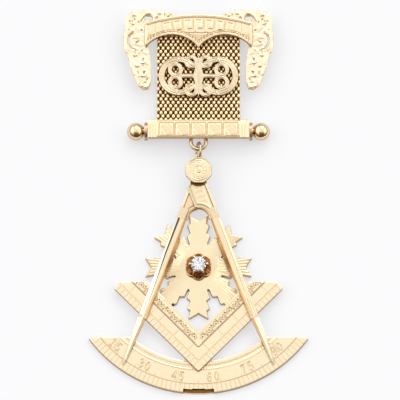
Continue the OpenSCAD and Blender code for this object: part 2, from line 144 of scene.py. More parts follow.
PLATE = dict(rough=0.27, recess_shade=0.8, reach=0.35, side=0.85)
FINISHES = {
    "banner_gold": ((0.90, 0.75, 0.52), dict(rough=0.27, recess_shade=0.6, reach=0.4, side=0.85,
                                             brush=(0.06, 1, 1))),
    "wing_gold": ((0.90, 0.77, 0.58), dict(rough=0.35, dark=(0.46, 0.35, 0.17), recess_shade=0.6, reach=0.3,
                                           side=0.3, cloudy=2.5)),
    "pin_gold": ((0.74, 0.55, 0.3), dict(rough=0.3)),
    "mesh_gold": ((0.94, 0.735, 0.45), dict(rough=0.22, dark=(0.09, 0.035, 0.008), recess_shade=1, reach=0.6,
                                            side=0.6)),
    "plaque_gold": ((0.755, 0.625, 0.435), dict(rough=0.24, recess_shade=0.8)),
    "bar_gold": ((0.86, 0.70, 0.46), dict(rough=0.25, brush=(0.05, 1, 1))),
    "polished_gold": ((0.85, 0.68, 0.44), dict(rough=0.07, side=0.4, dents=0.04)),
    "wire_gold": ((0.66, 0.52, 0.33), dict(rough=0.1, dark=(0.12, 0.06, 0.02), side=0.85, dents=0.04)),
    "compass_gold": ((0.765, 0.635, 0.43), dict(rough=0.25, side=0.85, dents=0.06)),
    "square_gold": ((0.88, 0.74, 0.515), PLATE),
    "sun_gold": ((0.87, 0.735, 0.50), dict(recess_shade=0.85, reach=0.4, side=0.85, dents=0.06)),
    "arc_gold": ((0.88, 0.74, 0.515), PLATE),
    # Painted shade: setting_gold is dark brown for the shade inside the setting's cup.
    "setting_gold": ((0.47, 0.235, 0.085), dict(rough=0.15, dark=(0.08, 0.025, 0.006), recess_shade=0.9,
                                                reach=0.8, side=0.3)),
    # Painted shade: these two finishes are near black, for shade in gaps, grooves and under parts.
    "shade_dark": ((0.22, 0.1, 0.03), dict(rough=0.45, dark=(0.03, 0.012, 0.004), recess_shade=1)),
    "seam_shade": ((0.1, 0.075, 0.04), dict(rough=0.45, dark=(0.02, 0.012, 0.006), recess_shade=1)),
    # Copies of the gold with painted light: the rail, point and claw golds are paler, as painted highlights;
    # the flank, lug, collar and rim golds are darker, as painted shade.
    "rail_highlight_gold": ((0.92, 0.85, 0.70), dict(rough=0.16, recess_shade=0.3, side=0.3, dents=0.04)),
    "flank_shade_gold": ((0.76, 0.52, 0.28), dict(rough=0.4, side=0, dents=0.06)),
    "lug_shade_gold": ((0.88, 0.64, 0.41), dict(dents=0.06)),
    "collar_shade_gold": ((0.62, 0.44, 0.28), dict(rough=0.35)),
    "rim_shade_gold": ((0.82, 0.56, 0.30), dict(rough=0.15, dark=(0.1, 0.035, 0.008), reach=0.3, side=0.2,
                                          dents=0.04)),
    "face_gold": ((0.83, 0.705, 0.49), dict(rough=0.25, side=0.5, dents=0.06)),
    "point_highlight_gold": ((0.84, 0.74, 0.55), dict(rough=0.3, recess_shade=0.4, side=0.4, dents=0.04)),
    "claw_highlight_gold": ((0.95, 0.86, 0.66), dict(rough=0.1, recess_shade=0.4, reach=0.3, side=0.1, dents=0.03)),
}
MATERIALS = {name: gold(name, colour, **finish) for name, (colour, finish) in FINISHES.items()}


def stone_material():
    """Clear stone with painted reflections, light and dark patches for the facets that mirror the studio,
    and a faint painted glow.
    """
    material, tree, shader = new_material("diamond", Transmission_Weight=1, IOR=2.3, Roughness=0,
                                          Emission_Color=(0.93, 0.96, 1, 1), Emission_Strength=0.02)
    where = add(tree, "TexCoord").outputs["Object"]
    facets = add(tree, "TexVoronoi", {"Vector": where, "Scale": 2600})
    chance = add(tree, "SeparateColor", {"Color": facets.outputs["Color"]})
    facet_reflection = ramp(tree, chance.outputs["Red"], 0.12, 0.24)
    tree.links.new(blend_colour(tree, facet_reflection, (0.06, 0.07, 0.1), (0.98, 0.99, 1)), shader.inputs["Base Color"])
    return material


def tan_sides(material):
    """Painted shade: deepens the tone of the sunburst towards its left and right."""
    tree = material.node_tree
    colour = tree.nodes["Principled BSDF"].inputs["Base Color"]
    where = add(tree, "SeparateXYZ", {"Vector": add(tree, "TexCoord").outputs["Object"]})
    across = maths(tree, "ABSOLUTE", where.outputs["X"])
    along = maths(tree, "ABSOLUTE", maths(tree, "ADD", where.outputs["Y"], MIDDLE_Y * MM))
    beyond = maths(tree, "MULTIPLY_ADD", along, -0.7, across)
    share = ramp(tree, beyond, 0, 0.006, 0, 0.5)
    tree.links.new(blend_colour(tree, share, colour.links[0].from_socket, (0.66, 0.48, 0.28)), colour)


tan_sides(MATERIALS["sun_gold"])
MATERIALS["diamond"] = stone_material()
SLOT_OF = {
    "banner": "banner_gold", "left_wing": "wing_gold", "right_wing": "wing_gold",
    "brooch_pin": "pin_gold", "mesh_ribbon": "mesh_gold", "scroll_applique": "plaque_gold",
    "lower_bar": "bar_gold", "left_finial": "polished_gold", "right_finial": "polished_gold",
    "bar_ring": "wire_gold", "jump_ring": "wire_gold", "compass_head": "compass_gold",
    "right_leg": "compass_gold", "left_leg": "compass_gold", "set_square": "square_gold",
    "sunburst": "sun_gold", "arc_scale": "arc_gold", "setting": "setting_gold", "diamond": "diamond",
}
for node_name, node_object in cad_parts.items():
    node_object.data.materials.clear()
    node_object.data.materials.append(MATERIALS[SLOT_OF[node_name]])


# Meshes

def piece(name, points, faces, node, stands_for=True, smooth=35, finish=None):
    """A piece of the jewel made of points in millimetres.

    It has the finish of its CAD node or a named one. Where stands_for is set it replaces the node.
    """
    mesh = bpy.data.meshes.new(name)
    mesh.from_pydata(place_points(points).tolist(), [], [list(map(int, f)) for f in faces])
    mesh.validate()
    mesh.polygons.foreach_set("use_smooth", [True] * len(mesh.polygons))
    mesh.set_sharp_from_angle(angle=math.radians(smooth))
    mesh.materials.append(MATERIALS[finish or SLOT_OF[node]])
    made = bpy.data.objects.new(name, mesh)
    bpy.context.scene.collection.objects.link(made)
    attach(made, "root")
    if stands_for:
        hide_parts(node)
    return made


def turn_outwards(mesh):
    """Turns the faces of a closed mesh outwards."""
    work = bmesh.new()
    work.from_mesh(mesh)
    bmesh.ops.recalc_face_normals(work, faces=work.faces)
    work.to_mesh(mesh)
    work.free()


def circle(radius, count, start=0):
    """Points (x, y) around the middle, from an angle in degrees."""
    turns = [math.radians(start + 360 * i / count) for i in range(count)]
    return [(radius * math.cos(a), radius * math.sin(a)) for a in turns]


def bridge(a, b, count):
    """Faces between two rings of points, told by the numbers of their first points."""
    return [(a + j, a + (j + 1) % count, b + (j + 1) % count, b + j) for j in range(count)]


def groove_marks(middles, width):
    """Grid positions at the edges and at the floor of each groove."""
    return [m + share * width for m in middles for share in (-0.5, -0.25, 0.25, 0.5)]


def grid(low, high, pitch, marks=(), fine=()):
    """Rising positions from low to high that hold every mark; fine has (from, to, pitch) stretches."""
    stops = {low, high}
    stops.update(m for m in marks if low < m < high)
    for start, end, _ in fine:
        stops.update((max(low, start), min(high, end)))
    stops = sorted(stops)
    stops = [stops[0]] + [b for a, b in zip(stops, stops[1:]) if b - a > 0.004]
    out = [low]
    for a, b in zip(stops, stops[1:]):
        middle = (a + b) / 2
        step = min([pitch] + [p for start, end, p in fine if start < middle < end])
        n = max(1, math.ceil((b - a) / step - 0.01))
        out += [a + (b - a) * i / n for i in range(1, n + 1)]
    return np.array(out)


def merge_flat(mesh, angle, block=2.5):
    """Joins the faces that lie flat together, inside blocks of that many millimetres."""
    middles = np.empty(3 * len(mesh.polygons))
    mesh.polygons.foreach_get("center", middles)
    cells = np.floor(middles.reshape(-1, 3)[:, :2] / (block * MM)).astype(int)
    cells -= cells.min(0)
    mesh.polygons.foreach_set("material_index", cells[:, 0] + 100 * cells[:, 1])
    work = bmesh.new()
    work.from_mesh(mesh)
    bmesh.ops.dissolve_limit(work, angle_limit=math.radians(angle), verts=work.verts, edges=work.edges,
                             delimit={"MATERIAL"})
    work.to_mesh(mesh)
    work.free()
    mesh.polygons.foreach_set("material_index", [0] * len(mesh.polygons))


def onto_outline(u, v, inside):
    """Points near the outline moved onto it, along the slope of its distance."""
    reach, longest = 0.004, 0.1
    for _ in range(4):
        d = inside(u, v)
        du = (inside(u + reach, v) - inside(u - reach, v)) / (2 * reach)
        dv = (inside(u, v + reach) - inside(u, v - reach)) / (2 * reach)
        size = np.maximum(du * du + dv * dv, 0.25)
        u = u - np.clip(d * du / size, -longest, longest)
        v = v - np.clip(d * dv / size, -longest, longest)
    return u, v


def relief(name, us, vs, inside, top, floor, node, place=None, merge=0.6, wrap=False, draft=0, **options):
    """A closed plate over the grid us x vs, where inside(u, v) is under 0, up to top(u, v, edge).

    edge is the distance to the outline, negative inside. place maps (u, v) to the plane.
    With wrap the last column of the grid is the first one again. draft is how far the walls lean out below.
    """
    u, v = np.meshgrid(us, vs)
    cell = inside((u[1:, 1:] + u[:-1, :-1]) / 2, (v[1:, 1:] + v[:-1, :-1]) / 2) < 0
    padded = np.pad(cell, 1).astype(int)
    if wrap:
        padded[1:-1, 0], padded[1:-1, -1] = cell[:, -1], cell[:, 0]
    around = padded[1:, 1:] + padded[:-1, 1:] + padded[1:, :-1] + padded[:-1, :-1]
    used = around > 0
    rim = used & (around < 4)
    u[rim], v[rim] = onto_outline(u[rim], v[rim], inside)
    if wrap:
        used[:, -1] = False
    n = int(used.sum())
    ids = np.full(used.shape, -1)
    ids[used] = np.arange(n)
    if wrap:
        ids[:, -1] = ids[:, 0]
    quads = np.stack([ids[:-1, :-1], ids[:-1, 1:], ids[1:, 1:], ids[1:, :-1]], -1)[cell]
    edges = np.concatenate([quads[:, [i, (i + 1) % 4]] for i in range(4)])
    key, back = edges[:, 0] * n + edges[:, 1], edges[:, 1] * n + edges[:, 0]
    a, b = edges[~np.isin(key, back)].T
    walls = np.stack([a, a + n, b + n, b], -1)
    flat_u, flat_v = u[used], v[used]
    z = top(flat_u, flat_v, inside(flat_u, flat_v))
    x, y = place(flat_u, flat_v) if place else (flat_u, flat_v)
    corner_x, corner_y = x[quads[0, :3]], y[quads[0, :3]]
    mirrored = np.cross(corner_x[1:] - corner_x[0], corner_y[1:] - corner_y[0]) < 0
    if mirrored:
        quads, walls = quads[:, ::-1], walls[:, ::-1]
    out = np.zeros((n, 2))
    for end in (a, b):
        np.add.at(out, end, np.stack([y[b] - y[a], x[a] - x[b]], -1) * (-1 if mirrored else 1))
    out *= draft / np.maximum(np.hypot(*out.T), 1e-6)[:, None]
    points = np.concatenate([np.stack([x, y, z], -1),
                             np.stack([x + out[:, 0], y + out[:, 1], np.full(n, float(floor))], -1)])
    made = piece(name, points, np.concatenate([quads, quads[:, ::-1] + n, walls]), node, **options)
    if merge:
        merge_flat(made.data, merge)
        made.data.set_sharp_from_angle(angle=math.radians(options.get("smooth", 35)))
    return made


def lathe(name, profile, centre, node, sides=48, bumps=None, **options):
    """A turned piece: profile holds (radius, z) from the axis and back to it.

    bumps(angle, radius, z) scales a radius.
    """
    points, faces = [], []
    for c, s in circle(1, sides):
        for r, z in profile:
            k = r * (bumps(math.atan2(s, c), r, z) if bumps else 1)
            points.append((centre[0] + k * c, centre[1] + k * s, z))
    m = len(profile)
    for i in range(sides):
        p, q = i * m, (i + 1) % sides * m
        faces += [(p + j, q + j, q + j + 1, p + j + 1) for j in range(m - 1)]
    faces.append([i * m for i in reversed(range(sides))])
    faces.append([i * m + m - 1 for i in range(sides)])
    turn_outwards(piece(name, points, faces, node, **options).data)


def tubes(name, lines, node, sides=8, up=None, **options):
    """Round wires in one mesh; each line is (points, radii, closed). up is where each section starts."""
    points, faces = [], []
    for line, radii, closed in lines:
        line = [Vector(p) for p in line]
        count, first = len(line), len(points)
        radii = radii if hasattr(radii, "__len__") else [radii] * count
        section_up = up and Vector(up)
        for i, p in enumerate(line):
            after = line[(i + 1) % count] if closed or i + 1 < count else p
            before = line[i - 1] if closed or i else p
            along = (after - before).normalized()
            if section_up is None:
                section_up = along.orthogonal().normalized()
            section_up = (section_up - along * section_up.dot(along)).normalized()
            across = along.cross(section_up)
            for j in range(sides):
                b = 2 * math.pi * j / sides
                points.append(p + radii[i] * (math.cos(b) * section_up + math.sin(b) * across))
        for i in range(count if closed else count - 1):
            faces += bridge(first + i * sides, first + (i + 1) % count * sides, sides)
        if not closed:
            faces.append([first + j for j in reversed(range(sides))])
            faces.append([first + (count - 1) * sides + j for j in range(sides)])
    piece(name, points, faces, node, **options)


def prism(name, stations, place, node, **options):
    """A bar through sections (u, z), each at its own v; place maps (u, v) to the plane."""
    points = [(*place(u, v), z) for v, section in stations for u, z in section]
    m, last = len(stations[0][1]), len(stations) - 1
    faces = sum((bridge(k * m, k * m + m, m) for k in range(last)), [])
    faces += [list(reversed(range(m))), list(range(last * m, last * m + m))]
    turn_outwards(piece(name, points, faces, node, **options).data)


# Distances in the plane, and what is made of them

def disc(x, y, cx, cy, r):
    """Distance to a circle, negative inside."""
    return np.hypot(x - cx, y - cy) - r


def polygon(x, y, corners):
    """Distance to a polygon, negative inside."""
    d = np.full(np.shape(x), 1e9)
    sign = np.ones(np.shape(x))
    count = len(corners)
    for i in range(count):
        ax, ay = corners[i]
        bx, by = corners[i - 1]
        ex, ey = bx - ax, by - ay
        wx, wy = x - ax, y - ay
        t = np.clip((wx * ex + wy * ey) / (ex * ex + ey * ey), 0, 1)
        d = np.minimum(d, (wx - ex * t) ** 2 + (wy - ey * t) ** 2)
        one, two, three = y >= ay, y < by, ex * wy > ey * wx
        sign = np.where((one & two & three) | (~one & ~two & ~three), -sign, sign)
    return sign * np.sqrt(d)


def path(x, y, points):
    """Distance to a line through the points."""
    d = np.full(np.shape(x), 1e9)
    for (ax, ay), (bx, by) in zip(points, points[1:]):
        ex, ey = bx - ax, by - ay
        t = np.clip(((x - ax) * ex + (y - ay) * ey) / (ex * ex + ey * ey + 1e-12), 0, 1)
        d = np.minimum(d, np.hypot(x - ax - ex * t, y - ay - ey * t))
    return d


def bow(x, y, cx, cy, r, start, end):
    """Distance to an arc of a circle, angles in degrees from +X."""
    middle, half = math.radians((start + end) / 2), math.radians(abs(end - start) / 2)
    px, py = x - cx, y - cy
    along = px * math.cos(middle) + py * math.sin(middle)
    across = np.abs(-px * math.sin(middle) + py * math.cos(middle))
    angle = np.arctan2(across, along)
    ends = np.hypot(along - r * math.cos(half), across - r * math.sin(half))
    return np.where(angle <= half, np.abs(np.hypot(px, py) - r), ends)


def groove(d, width):
    """Share of a groove's depth at a distance from its middle."""
    return np.clip((width / 2 - np.abs(d)) / (width / 4), 0, 1)


def step(d, width=0.08):
    """0 outside and 1 inside, with a slope of that width."""
    return np.clip(-d / width + 0.5, 0, 1)


def bevel(edge, width, drop):
    """How far the surface falls towards the outline."""
    share = np.clip(-edge / width, 0, 1)
    return drop * (1 - np.sqrt(1 - (1 - share) ** 2))


# Woven ribbon

GRAIN_H, GRAIN_W, GRAIN_WIRE = 1.4, 0.8, 0.17
ROD_R, ROD_PITCH, RIBBON_EDGE = 0.21, 0.4, 0.3


def woven_ribbon():
    """Rows of upright links, each a ring that is narrow in front, over rods that are dark as painted shade
    between the links.
    """
    (x0, y0, z0), (x1, y1, z1) = ([c / MM for c in corner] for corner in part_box("mesh_ribbon"))
    columns, rows = 17, 27
    pitch_x = (x1 - x0 - GRAIN_W) / (columns - 1)
    pitch_y = (y1 - y0 - GRAIN_H) / (rows - 1)
    middle_z, depth = (z0 + z1) / 2, (z1 - z0) / 2
    points, faces = [], []

    def link(cx, cy, tilt):
        first, around, section = len(points), 12, 8
        for cos_a, sin_a in circle(1, around):
            width = GRAIN_W / 2 * (0.45 + 0.55 * abs(sin_a) ** 0.8)
            cos_a, sin_a = (math.copysign(abs(c) ** 0.7, c) for c in (cos_a, sin_a))
            for cos_b, sin_b in circle(1, section):
                grow = GRAIN_WIRE * (cos_b - 1)
                points.append((cx + width * sin_b + tilt * sin_a * 0.1,
                               cy + (GRAIN_H / 2 + grow) * cos_a + MIDDLE_Y,
                               middle_z + (depth + grow) * sin_a))
        for i in range(around):
            faces.extend(bridge(first + i * section, first + (i + 1) % around * section, section))

    for row in range(rows):
        shifted = row % 2
        for column in range(columns - shifted):
            link(x0 + GRAIN_W / 2 + (column + shifted / 2) * pitch_x, y0 + GRAIN_H / 2 + row * pitch_y,
                 random.uniform(-1, 1))
    piece("woven_ribbon", points, faces, "mesh_ribbon", smooth=60)

    # The rods are painted shade: dark, so the gaps between the links look shaded.
    room = y1 - y0 - 2 * RIBBON_EDGE
    count = int(room / ROD_PITCH)
    rods = []
    for i in range(count):
        y = y0 + RIBBON_EDGE + room * i / (count - 1) + MIDDLE_Y
        rods.append(([(x0 + 0.15, y, middle_z), (x1 - 0.15, y, middle_z)], ROD_R, False))
    tubes("ribbon_rods", rods, "mesh_ribbon", sides=6, up=(0, 1, 0), stands_for=False, smooth=60,
          finish="shade_dark")


woven_ribbon()


# Arc

ARC_R, ARC_W, ARC_REACH, ARC_T, ARC_UP = 35.9, 8.5, 54.0, 1.2, 1.6
# lines along the arc: distance from its outer edge, share of the depth
ARC_LINES = ((2.44, 0.9), (6.24, 0.45), (7.44, 0.45))
LINE_W, LINE_CUT = 0.28, 0.15
TICK_W, ARC_TICK_PITCH = 0.16, 1.28
NUMBERS = ((15, -44), (30, -27), (45, -10), (60, 7), (75, 24), (90, 41))
DIGIT_H, DIGIT_W, DIGIT_GAP, DIGIT_FOOT = 2.3, 1.2, 0.5, 3.0
NOTCH_HALF, NOTCH_H, NOTCH_LOW = 4.0, 0.94, 0.4

# strokes of the digits on a field 1 wide and 1.6 high
DIGITS = {
    "0": [[(0.5, 1.6), (0.15, 1.35), (0, 0.8), (0.15, 0.25), (0.5, 0), (0.85, 0.25), (1, 0.8),
           (0.85, 1.35), (0.5, 1.6)]],
    "1": [[(0.2, 1.3), (0.5, 1.6), (0.5, 0)], [(0.2, 0), (0.8, 0)]],
    "3": [[(0.05, 1.35), (0.35, 1.6), (0.75, 1.55), (0.9, 1.2), (0.7, 0.9), (0.4, 0.85)],
          [(0.7, 0.9), (1, 0.45), (0.8, 0.08), (0.4, 0), (0.05, 0.25)]],
    "4": [[(0.75, 0), (0.75, 1.6), (0, 0.5), (1, 0.5)]],
    "5": [[(0.9, 1.6), (0.2, 1.6), (0.12, 0.9), (0.55, 1.02), (0.92, 0.75), (0.95, 0.35),
           (0.6, 0.02), (0.2, 0.03), (0, 0.3)]],
    "6": [[(0.85, 1.45), (0.5, 1.6), (0.15, 1.25), (0, 0.6), (0.2, 0.1), (0.55, 0), (0.95, 0.25),
           (0.95, 0.65), (0.6, 0.92), (0.1, 0.7)]],
    "7": [[(0, 1.25), (0.05, 1.6), (0.95, 1.6), (0.45, 0.6), (0.4, 0)]],
    "9": [[(0.15, 0.15), (0.5, 0), (0.85, 0.35), (1, 1), (0.8, 1.5), (0.45, 1.6), (0.05, 1.35),
           (0.05, 0.95), (0.4, 0.68), (0.9, 0.9)]],
}


def polar(u, v):
    """u is the way along the outer edge from straight down, v the distance in from it."""
    angle = u / ARC_R
    return (ARC_R - v) * np.sin(angle), ARC_UP - (ARC_R - v) * np.cos(angle)


def digit_strokes(number, middle):
    """The strokes of a number of two digits around a place on the arc."""
    strokes = []
    for hand, digit in zip((-1, 1), str(number)):
        start = middle + hand * (DIGIT_GAP + DIGIT_W / 2) - DIGIT_W / 2
        for line in DIGITS[digit]:
            strokes.append([(start + px * DIGIT_W, DIGIT_FOOT + py * DIGIT_H / 1.6) for px, py in line])
    return strokes


def ruled(u, v, lines, ticks):
    """Depth of the lines, told by v and share of depth, and of the ticks, told by u and inner end."""
    depth = np.maximum.reduce([share * groove(v - d, LINE_W) for d, share in lines])
    for t, inner in ticks:
        depth = np.maximum(depth, 0.4 * groove(u - t, TICK_W) * step(v - inner, 0.05))
    return depth


def arc_scale():
    """The graduated arc with its lines, ticks and numbers."""
    half = math.radians(ARC_REACH) * ARC_R
    ticks = [i * ARC_TICK_PITCH for i in range(-25, 26)]
    middles = [math.radians(degrees) * ARC_R for _, degrees in NUMBERS]
    strokes = sum((digit_strokes(number, middle) for (number, _), middle in zip(NUMBERS, middles)), [])

    def inside(u, v):
        ends = np.maximum(np.abs(u) - half, np.maximum(-v, v - ARC_W))
        return np.maximum(ends, polar(u, v)[1] + 19.1)

    def top(u, v, edge):
        x, y = polar(u, v)
        depth = ruled(u, v, ARC_LINES, [(t, 2.32 if i % 5 else 3.22) for i, t in enumerate(ticks)])
        left = step(-u, 0.05)
        beads = 0.5 + 0.5 * np.cos(2 * math.pi * u / 0.8)
        depth = np.maximum(depth, 0.5 * step(np.maximum(6.45 - v, v - 7.25), 0.05) * left * beads)
        depth = np.maximum(depth, 0.4 * groove(v - 6.8, TICK_W) * step(u, 0.05))
        column = step(np.maximum(2.7 - v, v - 5.9), 0.05)
        for middle in middles:
            depth = np.maximum(depth, 0.45 * groove(u - middle, 0.14) * column)
        for line in strokes:
            xs = [p[0] for p in line]
            near = (u > min(xs) - 0.4) & (u < max(xs) + 0.4) & (v > 2.5) & (v < 6)
            if near.any():
                d = path(u[near], v[near], line)
                depth[near] = np.maximum(depth[near], 0.48 * groove(d - 0.13, 0.1))
        z = ARC_T - LINE_CUT * depth - 0.05 * np.clip(1 + edge / 0.15, 0, 1)
        notch = (np.abs(x) < NOTCH_HALF + 0.1) & (y < ARC_UP - ARC_R + NOTCH_H + 0.06)
        return np.where(notch, NOTCH_LOW, z)

    fields = [(middle - 2.3, middle + 2.3, 0.075) for middle in middles]
    us = grid(-half, half, 0.25, groove_marks(ticks, TICK_W), fields)
    vs = grid(0, ARC_W, 0.2, groove_marks([d for d, _ in ARC_LINES], LINE_W), [(2.8, 5.8, 0.08)])
    relief("arc_engraved", us, vs, inside, top, 0, "arc_scale", place=polar, draft=0.2, smooth=12)


def arc_notch():
    """A dark plate in the notch at the foot of the arc, as painted shade in the notch."""
    xs = np.linspace(-NOTCH_HALF, NOTCH_HALF, 17)
    plate = [(x, ARC_UP - math.sqrt(ARC_R ** 2 - x * x) + 0.12) for x in xs]
    plate += [(x, ARC_UP - ARC_R + NOTCH_H) for x in xs[::-1]]
    m = len(plate)
    points = [(x, y, z) for z in (NOTCH_LOW + 0.01, 0.6) for x, y in plate]
    faces = bridge(0, m, m) + [list(reversed(range(m))), list(range(m, 2 * m))]
    piece("arc_notch", points, faces, "arc_scale", stands_for=False, finish="shade_dark")


arc_scale()
arc_notch()


# Square

SQUARE_DROP, SQUARE_W, SQUARE_END, SQUARE_TIP = 28.5, 7.5, 4.3, 22.3
SQUARE_Z, SQUARE_T = 1.25, 1.1
SQUARE_LINES = ((1.94, 0.6), (4.49, 1.8))
CHANNEL_V, CHANNEL_START = 5.78, 6.1
SCROLL_PITCH = 2.5
SCROLL_PITS = ((0, 0.05, 0.17), (1.3, 0.62, 0.15), (0.72, -0.72, 0.1))
DIAGONAL = math.sqrt(0.5)


def channel_scrolls(u, v):
    """Distances to the lines and to the pits of the scrolls in the square's channel."""
    lines, pits = np.full(u.shape, 9.0), np.full(u.shape, 9.0)
    for i in range(11):
        middle, turn = 7.3 + SCROLL_PITCH * i, 1 if i % 2 else -1
        near = np.abs(u - middle) < 2.2
        a, b = u[near], (v[near] - CHANNEL_V) * turn
        curl = bow(a, b, middle, 0, 0.64, -220, 50)
        sprays = [bow(a, b, middle + 1.3, -0.6, 0.85, 35, 150), bow(a, b, middle + 1.3, -1.1, 0.9, 45, 135)]
        lines[near] = np.minimum.reduce([lines[near], curl] + sprays)
        dots = [disc(a, b, middle + x, y, r) for x, y, r in SCROLL_PITS]
        pits[near] = np.minimum.reduce([pits[near]] + dots)
    return lines, pits


def square_arm(side):
    """One arm of the square; u runs along its outer edge from the corner, v across it."""
    ticks = [1.9 + 1.38 * i for i in range(24)]

    def place(u, v):
        return side * (u - v) * DIAGONAL, -SQUARE_DROP + (u + v) * DIAGONAL

    def inside(u, v):
        x, y = (u - v) * DIAGONAL, -SQUARE_DROP + (u + v) * DIAGONAL
        corner = (x + y - (SQUARE_TIP - SQUARE_END - 1.5)) * DIAGONAL
        return np.maximum.reduce([-v, v - SQUARE_W, -x, x - SQUARE_TIP, y + SQUARE_END, corner])

    def top(u, v, edge):
        depth = ruled(u, v, SQUARE_LINES, [(t, 1.85) for t in ticks])
        band = step(np.maximum(2.0 - v, v - 4.4), 0.05)
        for t in ticks[3::4]:
            depth = np.maximum(depth, 0.42 * groove(u - t, TICK_W) * band)
        rim = np.maximum.reduce([-v, v - SQUARE_W, edge * (u > 20)])
        z = SQUARE_Z + SQUARE_T - LINE_CUT * depth - 0.05 * np.clip(1 + rim / 0.15, 0, 1)
        channel = step(np.maximum(4.8 - v, v - 6.75), 0.06) * step(CHANNEL_START - u, 0.1)
        lines, pits = channel_scrolls(u, v)
        cut = np.maximum(0.13 * groove(lines, 0.22), 0.25 * step(pits, 0.06))
        border = groove(np.abs(v - CHANNEL_V) - 1.0, 0.14) * step(CHANNEL_START - 0.1 - u, 0.1)
        return z - channel * (0.02 + cut) - 0.08 * border

    us = grid(0, 34, 0.2, groove_marks(ticks, TICK_W), [(6, 34, 0.085)])
    vs = grid(0, SQUARE_W, 0.2, groove_marks((1.94, 4.49, 6.86), LINE_W), [(4.6, 6.9, 0.075)])
    relief(f"square_arm_{HANDS[side]}", us, vs, inside, top, SQUARE_Z, "set_square", place=place, draft=0.12,
           smooth=14)


square_arm(-1)
square_arm(1)


# Sunburst

SUN_CORE, RAY_REACH, RAY_TAIL = 6.6, 14.0, 1.5
# steps of a ray's side: share of its reach, half width
RAY_SIDES = ((0.3, 1.9), (0.485, 2.4), (0.605, 2.95), (0.66, 2), (0.81, 2.85), (0.85, 2.05), (1, 2.5))
SUN_LINES = 96


def sunburst():
    """Eight rays over a grid of turns u, in degrees, and distances v from the middle."""
    outline = [(a * RAY_REACH, -b) for a, b in RAY_SIDES] + [(RAY_REACH - RAY_TAIL, 0)]
    outline += [(a * RAY_REACH, b) for a, b in reversed(RAY_SIDES)]

    def folded(u):
        return np.mod(u + 22.5, 45) - 22.5

    def place(u, v):
        return v * np.cos(np.radians(u)), v * np.sin(np.radians(u))

    def inside(u, v):
        star = polygon(*place(folded(u), v), outline)
        return np.maximum(np.minimum(star, v - SUN_CORE), 0.5 - v)

    def top(u, v, edge):
        ridge = 0.5 + 0.5 * np.cos(np.radians(u * SUN_LINES))
        fade = np.clip((v - 3.7) / 1.5, 0, 1) * np.clip(1.6 * np.abs(np.cos(np.radians(u))) - 0.25, 0, 1)
        z = 1.17 + 0.1 * np.clip(1 - (v / 9) ** 2, 0, 1)
        z = z - 0.0065 * np.clip(v, 3, 14) * ridge * fade
        x, y = place(u, v)
        hatch = step(np.maximum.reduce([12 - np.abs(folded(u)), v - 9.5, 5.6 - v]), 0.2)
        z = z - 0.05 * hatch * (0.5 + 0.5 * np.sin(x * 11) * np.sin(y * 11))
        return z - 0.05 * np.clip(1 + edge / 0.15, 0, 1)

    us, vs = np.linspace(-22.5, 337.5, SUN_LINES * 6 + 1), grid(0.5, RAY_REACH + 0.2, 0.16)
    relief("sunburst_engraved", us, vs, inside, top, 0, "sunburst", place=place, wrap=True, merge=0.3,
           draft=0.25, smooth=50)


sunburst()


# Wings

RING_Y = 34.1
BANNER_TOP, BANNER_R, BANNER_HALF = 68.8, 44.7, 13.9
SCALLOP_X, SCALLOP_R, SCALLOP_DROP = 7.2, 9, 5.7
BANNER_Z, BANNER_T = 3.8, 1.05
WING_Z, WING_T = 2.65, 1.1

# outline of the right wing from the ring: x, y
WING_EDGE = (
    (5.4, 34.2), (7.6, 35.3), (10.2, 36.1), (13, 36.4), (15.5, 36.1), (17.8, 35.7), (19.3, 34.9),
    (19.9, 33.2), (19.7, 31.2), (20.1, 28.9), (20.2, 26.6), (19.7, 24.8), (18.9, 23), (18.5, 21),
    (17.8, 19), (17.1, 17), (16.2, 15.2), (14.8, 14.1), (13.4, 14.3), (12.7, 16.6), (12.7, 20),
    (13.0, 23.2), (13.5, 26), (12.5, 30.4), (7, 32.6),
)
# notches between its lobes: x, y, radius
WING_NOTCHES = (
    (6.8, 35.6, 0.5), (9, 36.3, 0.42), (11.5, 36.7, 0.4), (14.3, 36.7, 0.42), (16.7, 36.3, 0.4),
    (18.8, 35.7, 0.4), (20.2, 32.2, 0.42), (20.2, 30.3, 0.35), (20.3, 25.2, 0.4), (19.5, 23.9, 0.42),
    (19.0, 21.9, 0.42), (18.4, 19.9, 0.4), (17.7, 17.9, 0.4), (16.9, 15.8, 0.35), (12.4, 17.6, 0.3),
    (12.4, 19.6, 0.3), (12.5, 21.8, 0.3), (12.8, 24.4, 0.35),
)
# round openings: x, y, radius
WING_HOLES = (
    (13.1, 33.8, 0.72), (14.0, 33.9, 0.66), (11.2, 33.8, 0.42), (8.2, 34.3, 0.2), (17.2, 33.4, 0.3),
    (15.3, 30.4, 0.3), (14.9, 22.2, 0.3), (14.6, 18.6, 0.28),
)
# dark strokes of the chasing: x, y, angle, half length
WING_CUTS = (
    (18.2, 33.0, 175, 0.5), (18.2, 29.3, 155, 0.7), (16.4, 27.3, 150, 0.55), (17.1, 24.6, 140, 0.35),
    (15.3, 24.7, 128, 0.45), (14.9, 20.8, 95, 0.3), (16.2, 18.7, 60, 0.3), (15.2, 17.5, 10, 0.3),
    (13.9, 16.8, 150, 0.3), (15.7, 15.5, 50, 0.35), (9.0, 34.8, 60, 0.3),
)
# a deep line over the large opening
WING_BROW = ((15.5, 33.0), (14.7, 34.2), (13.9, 34.75), (12.9, 34.9))
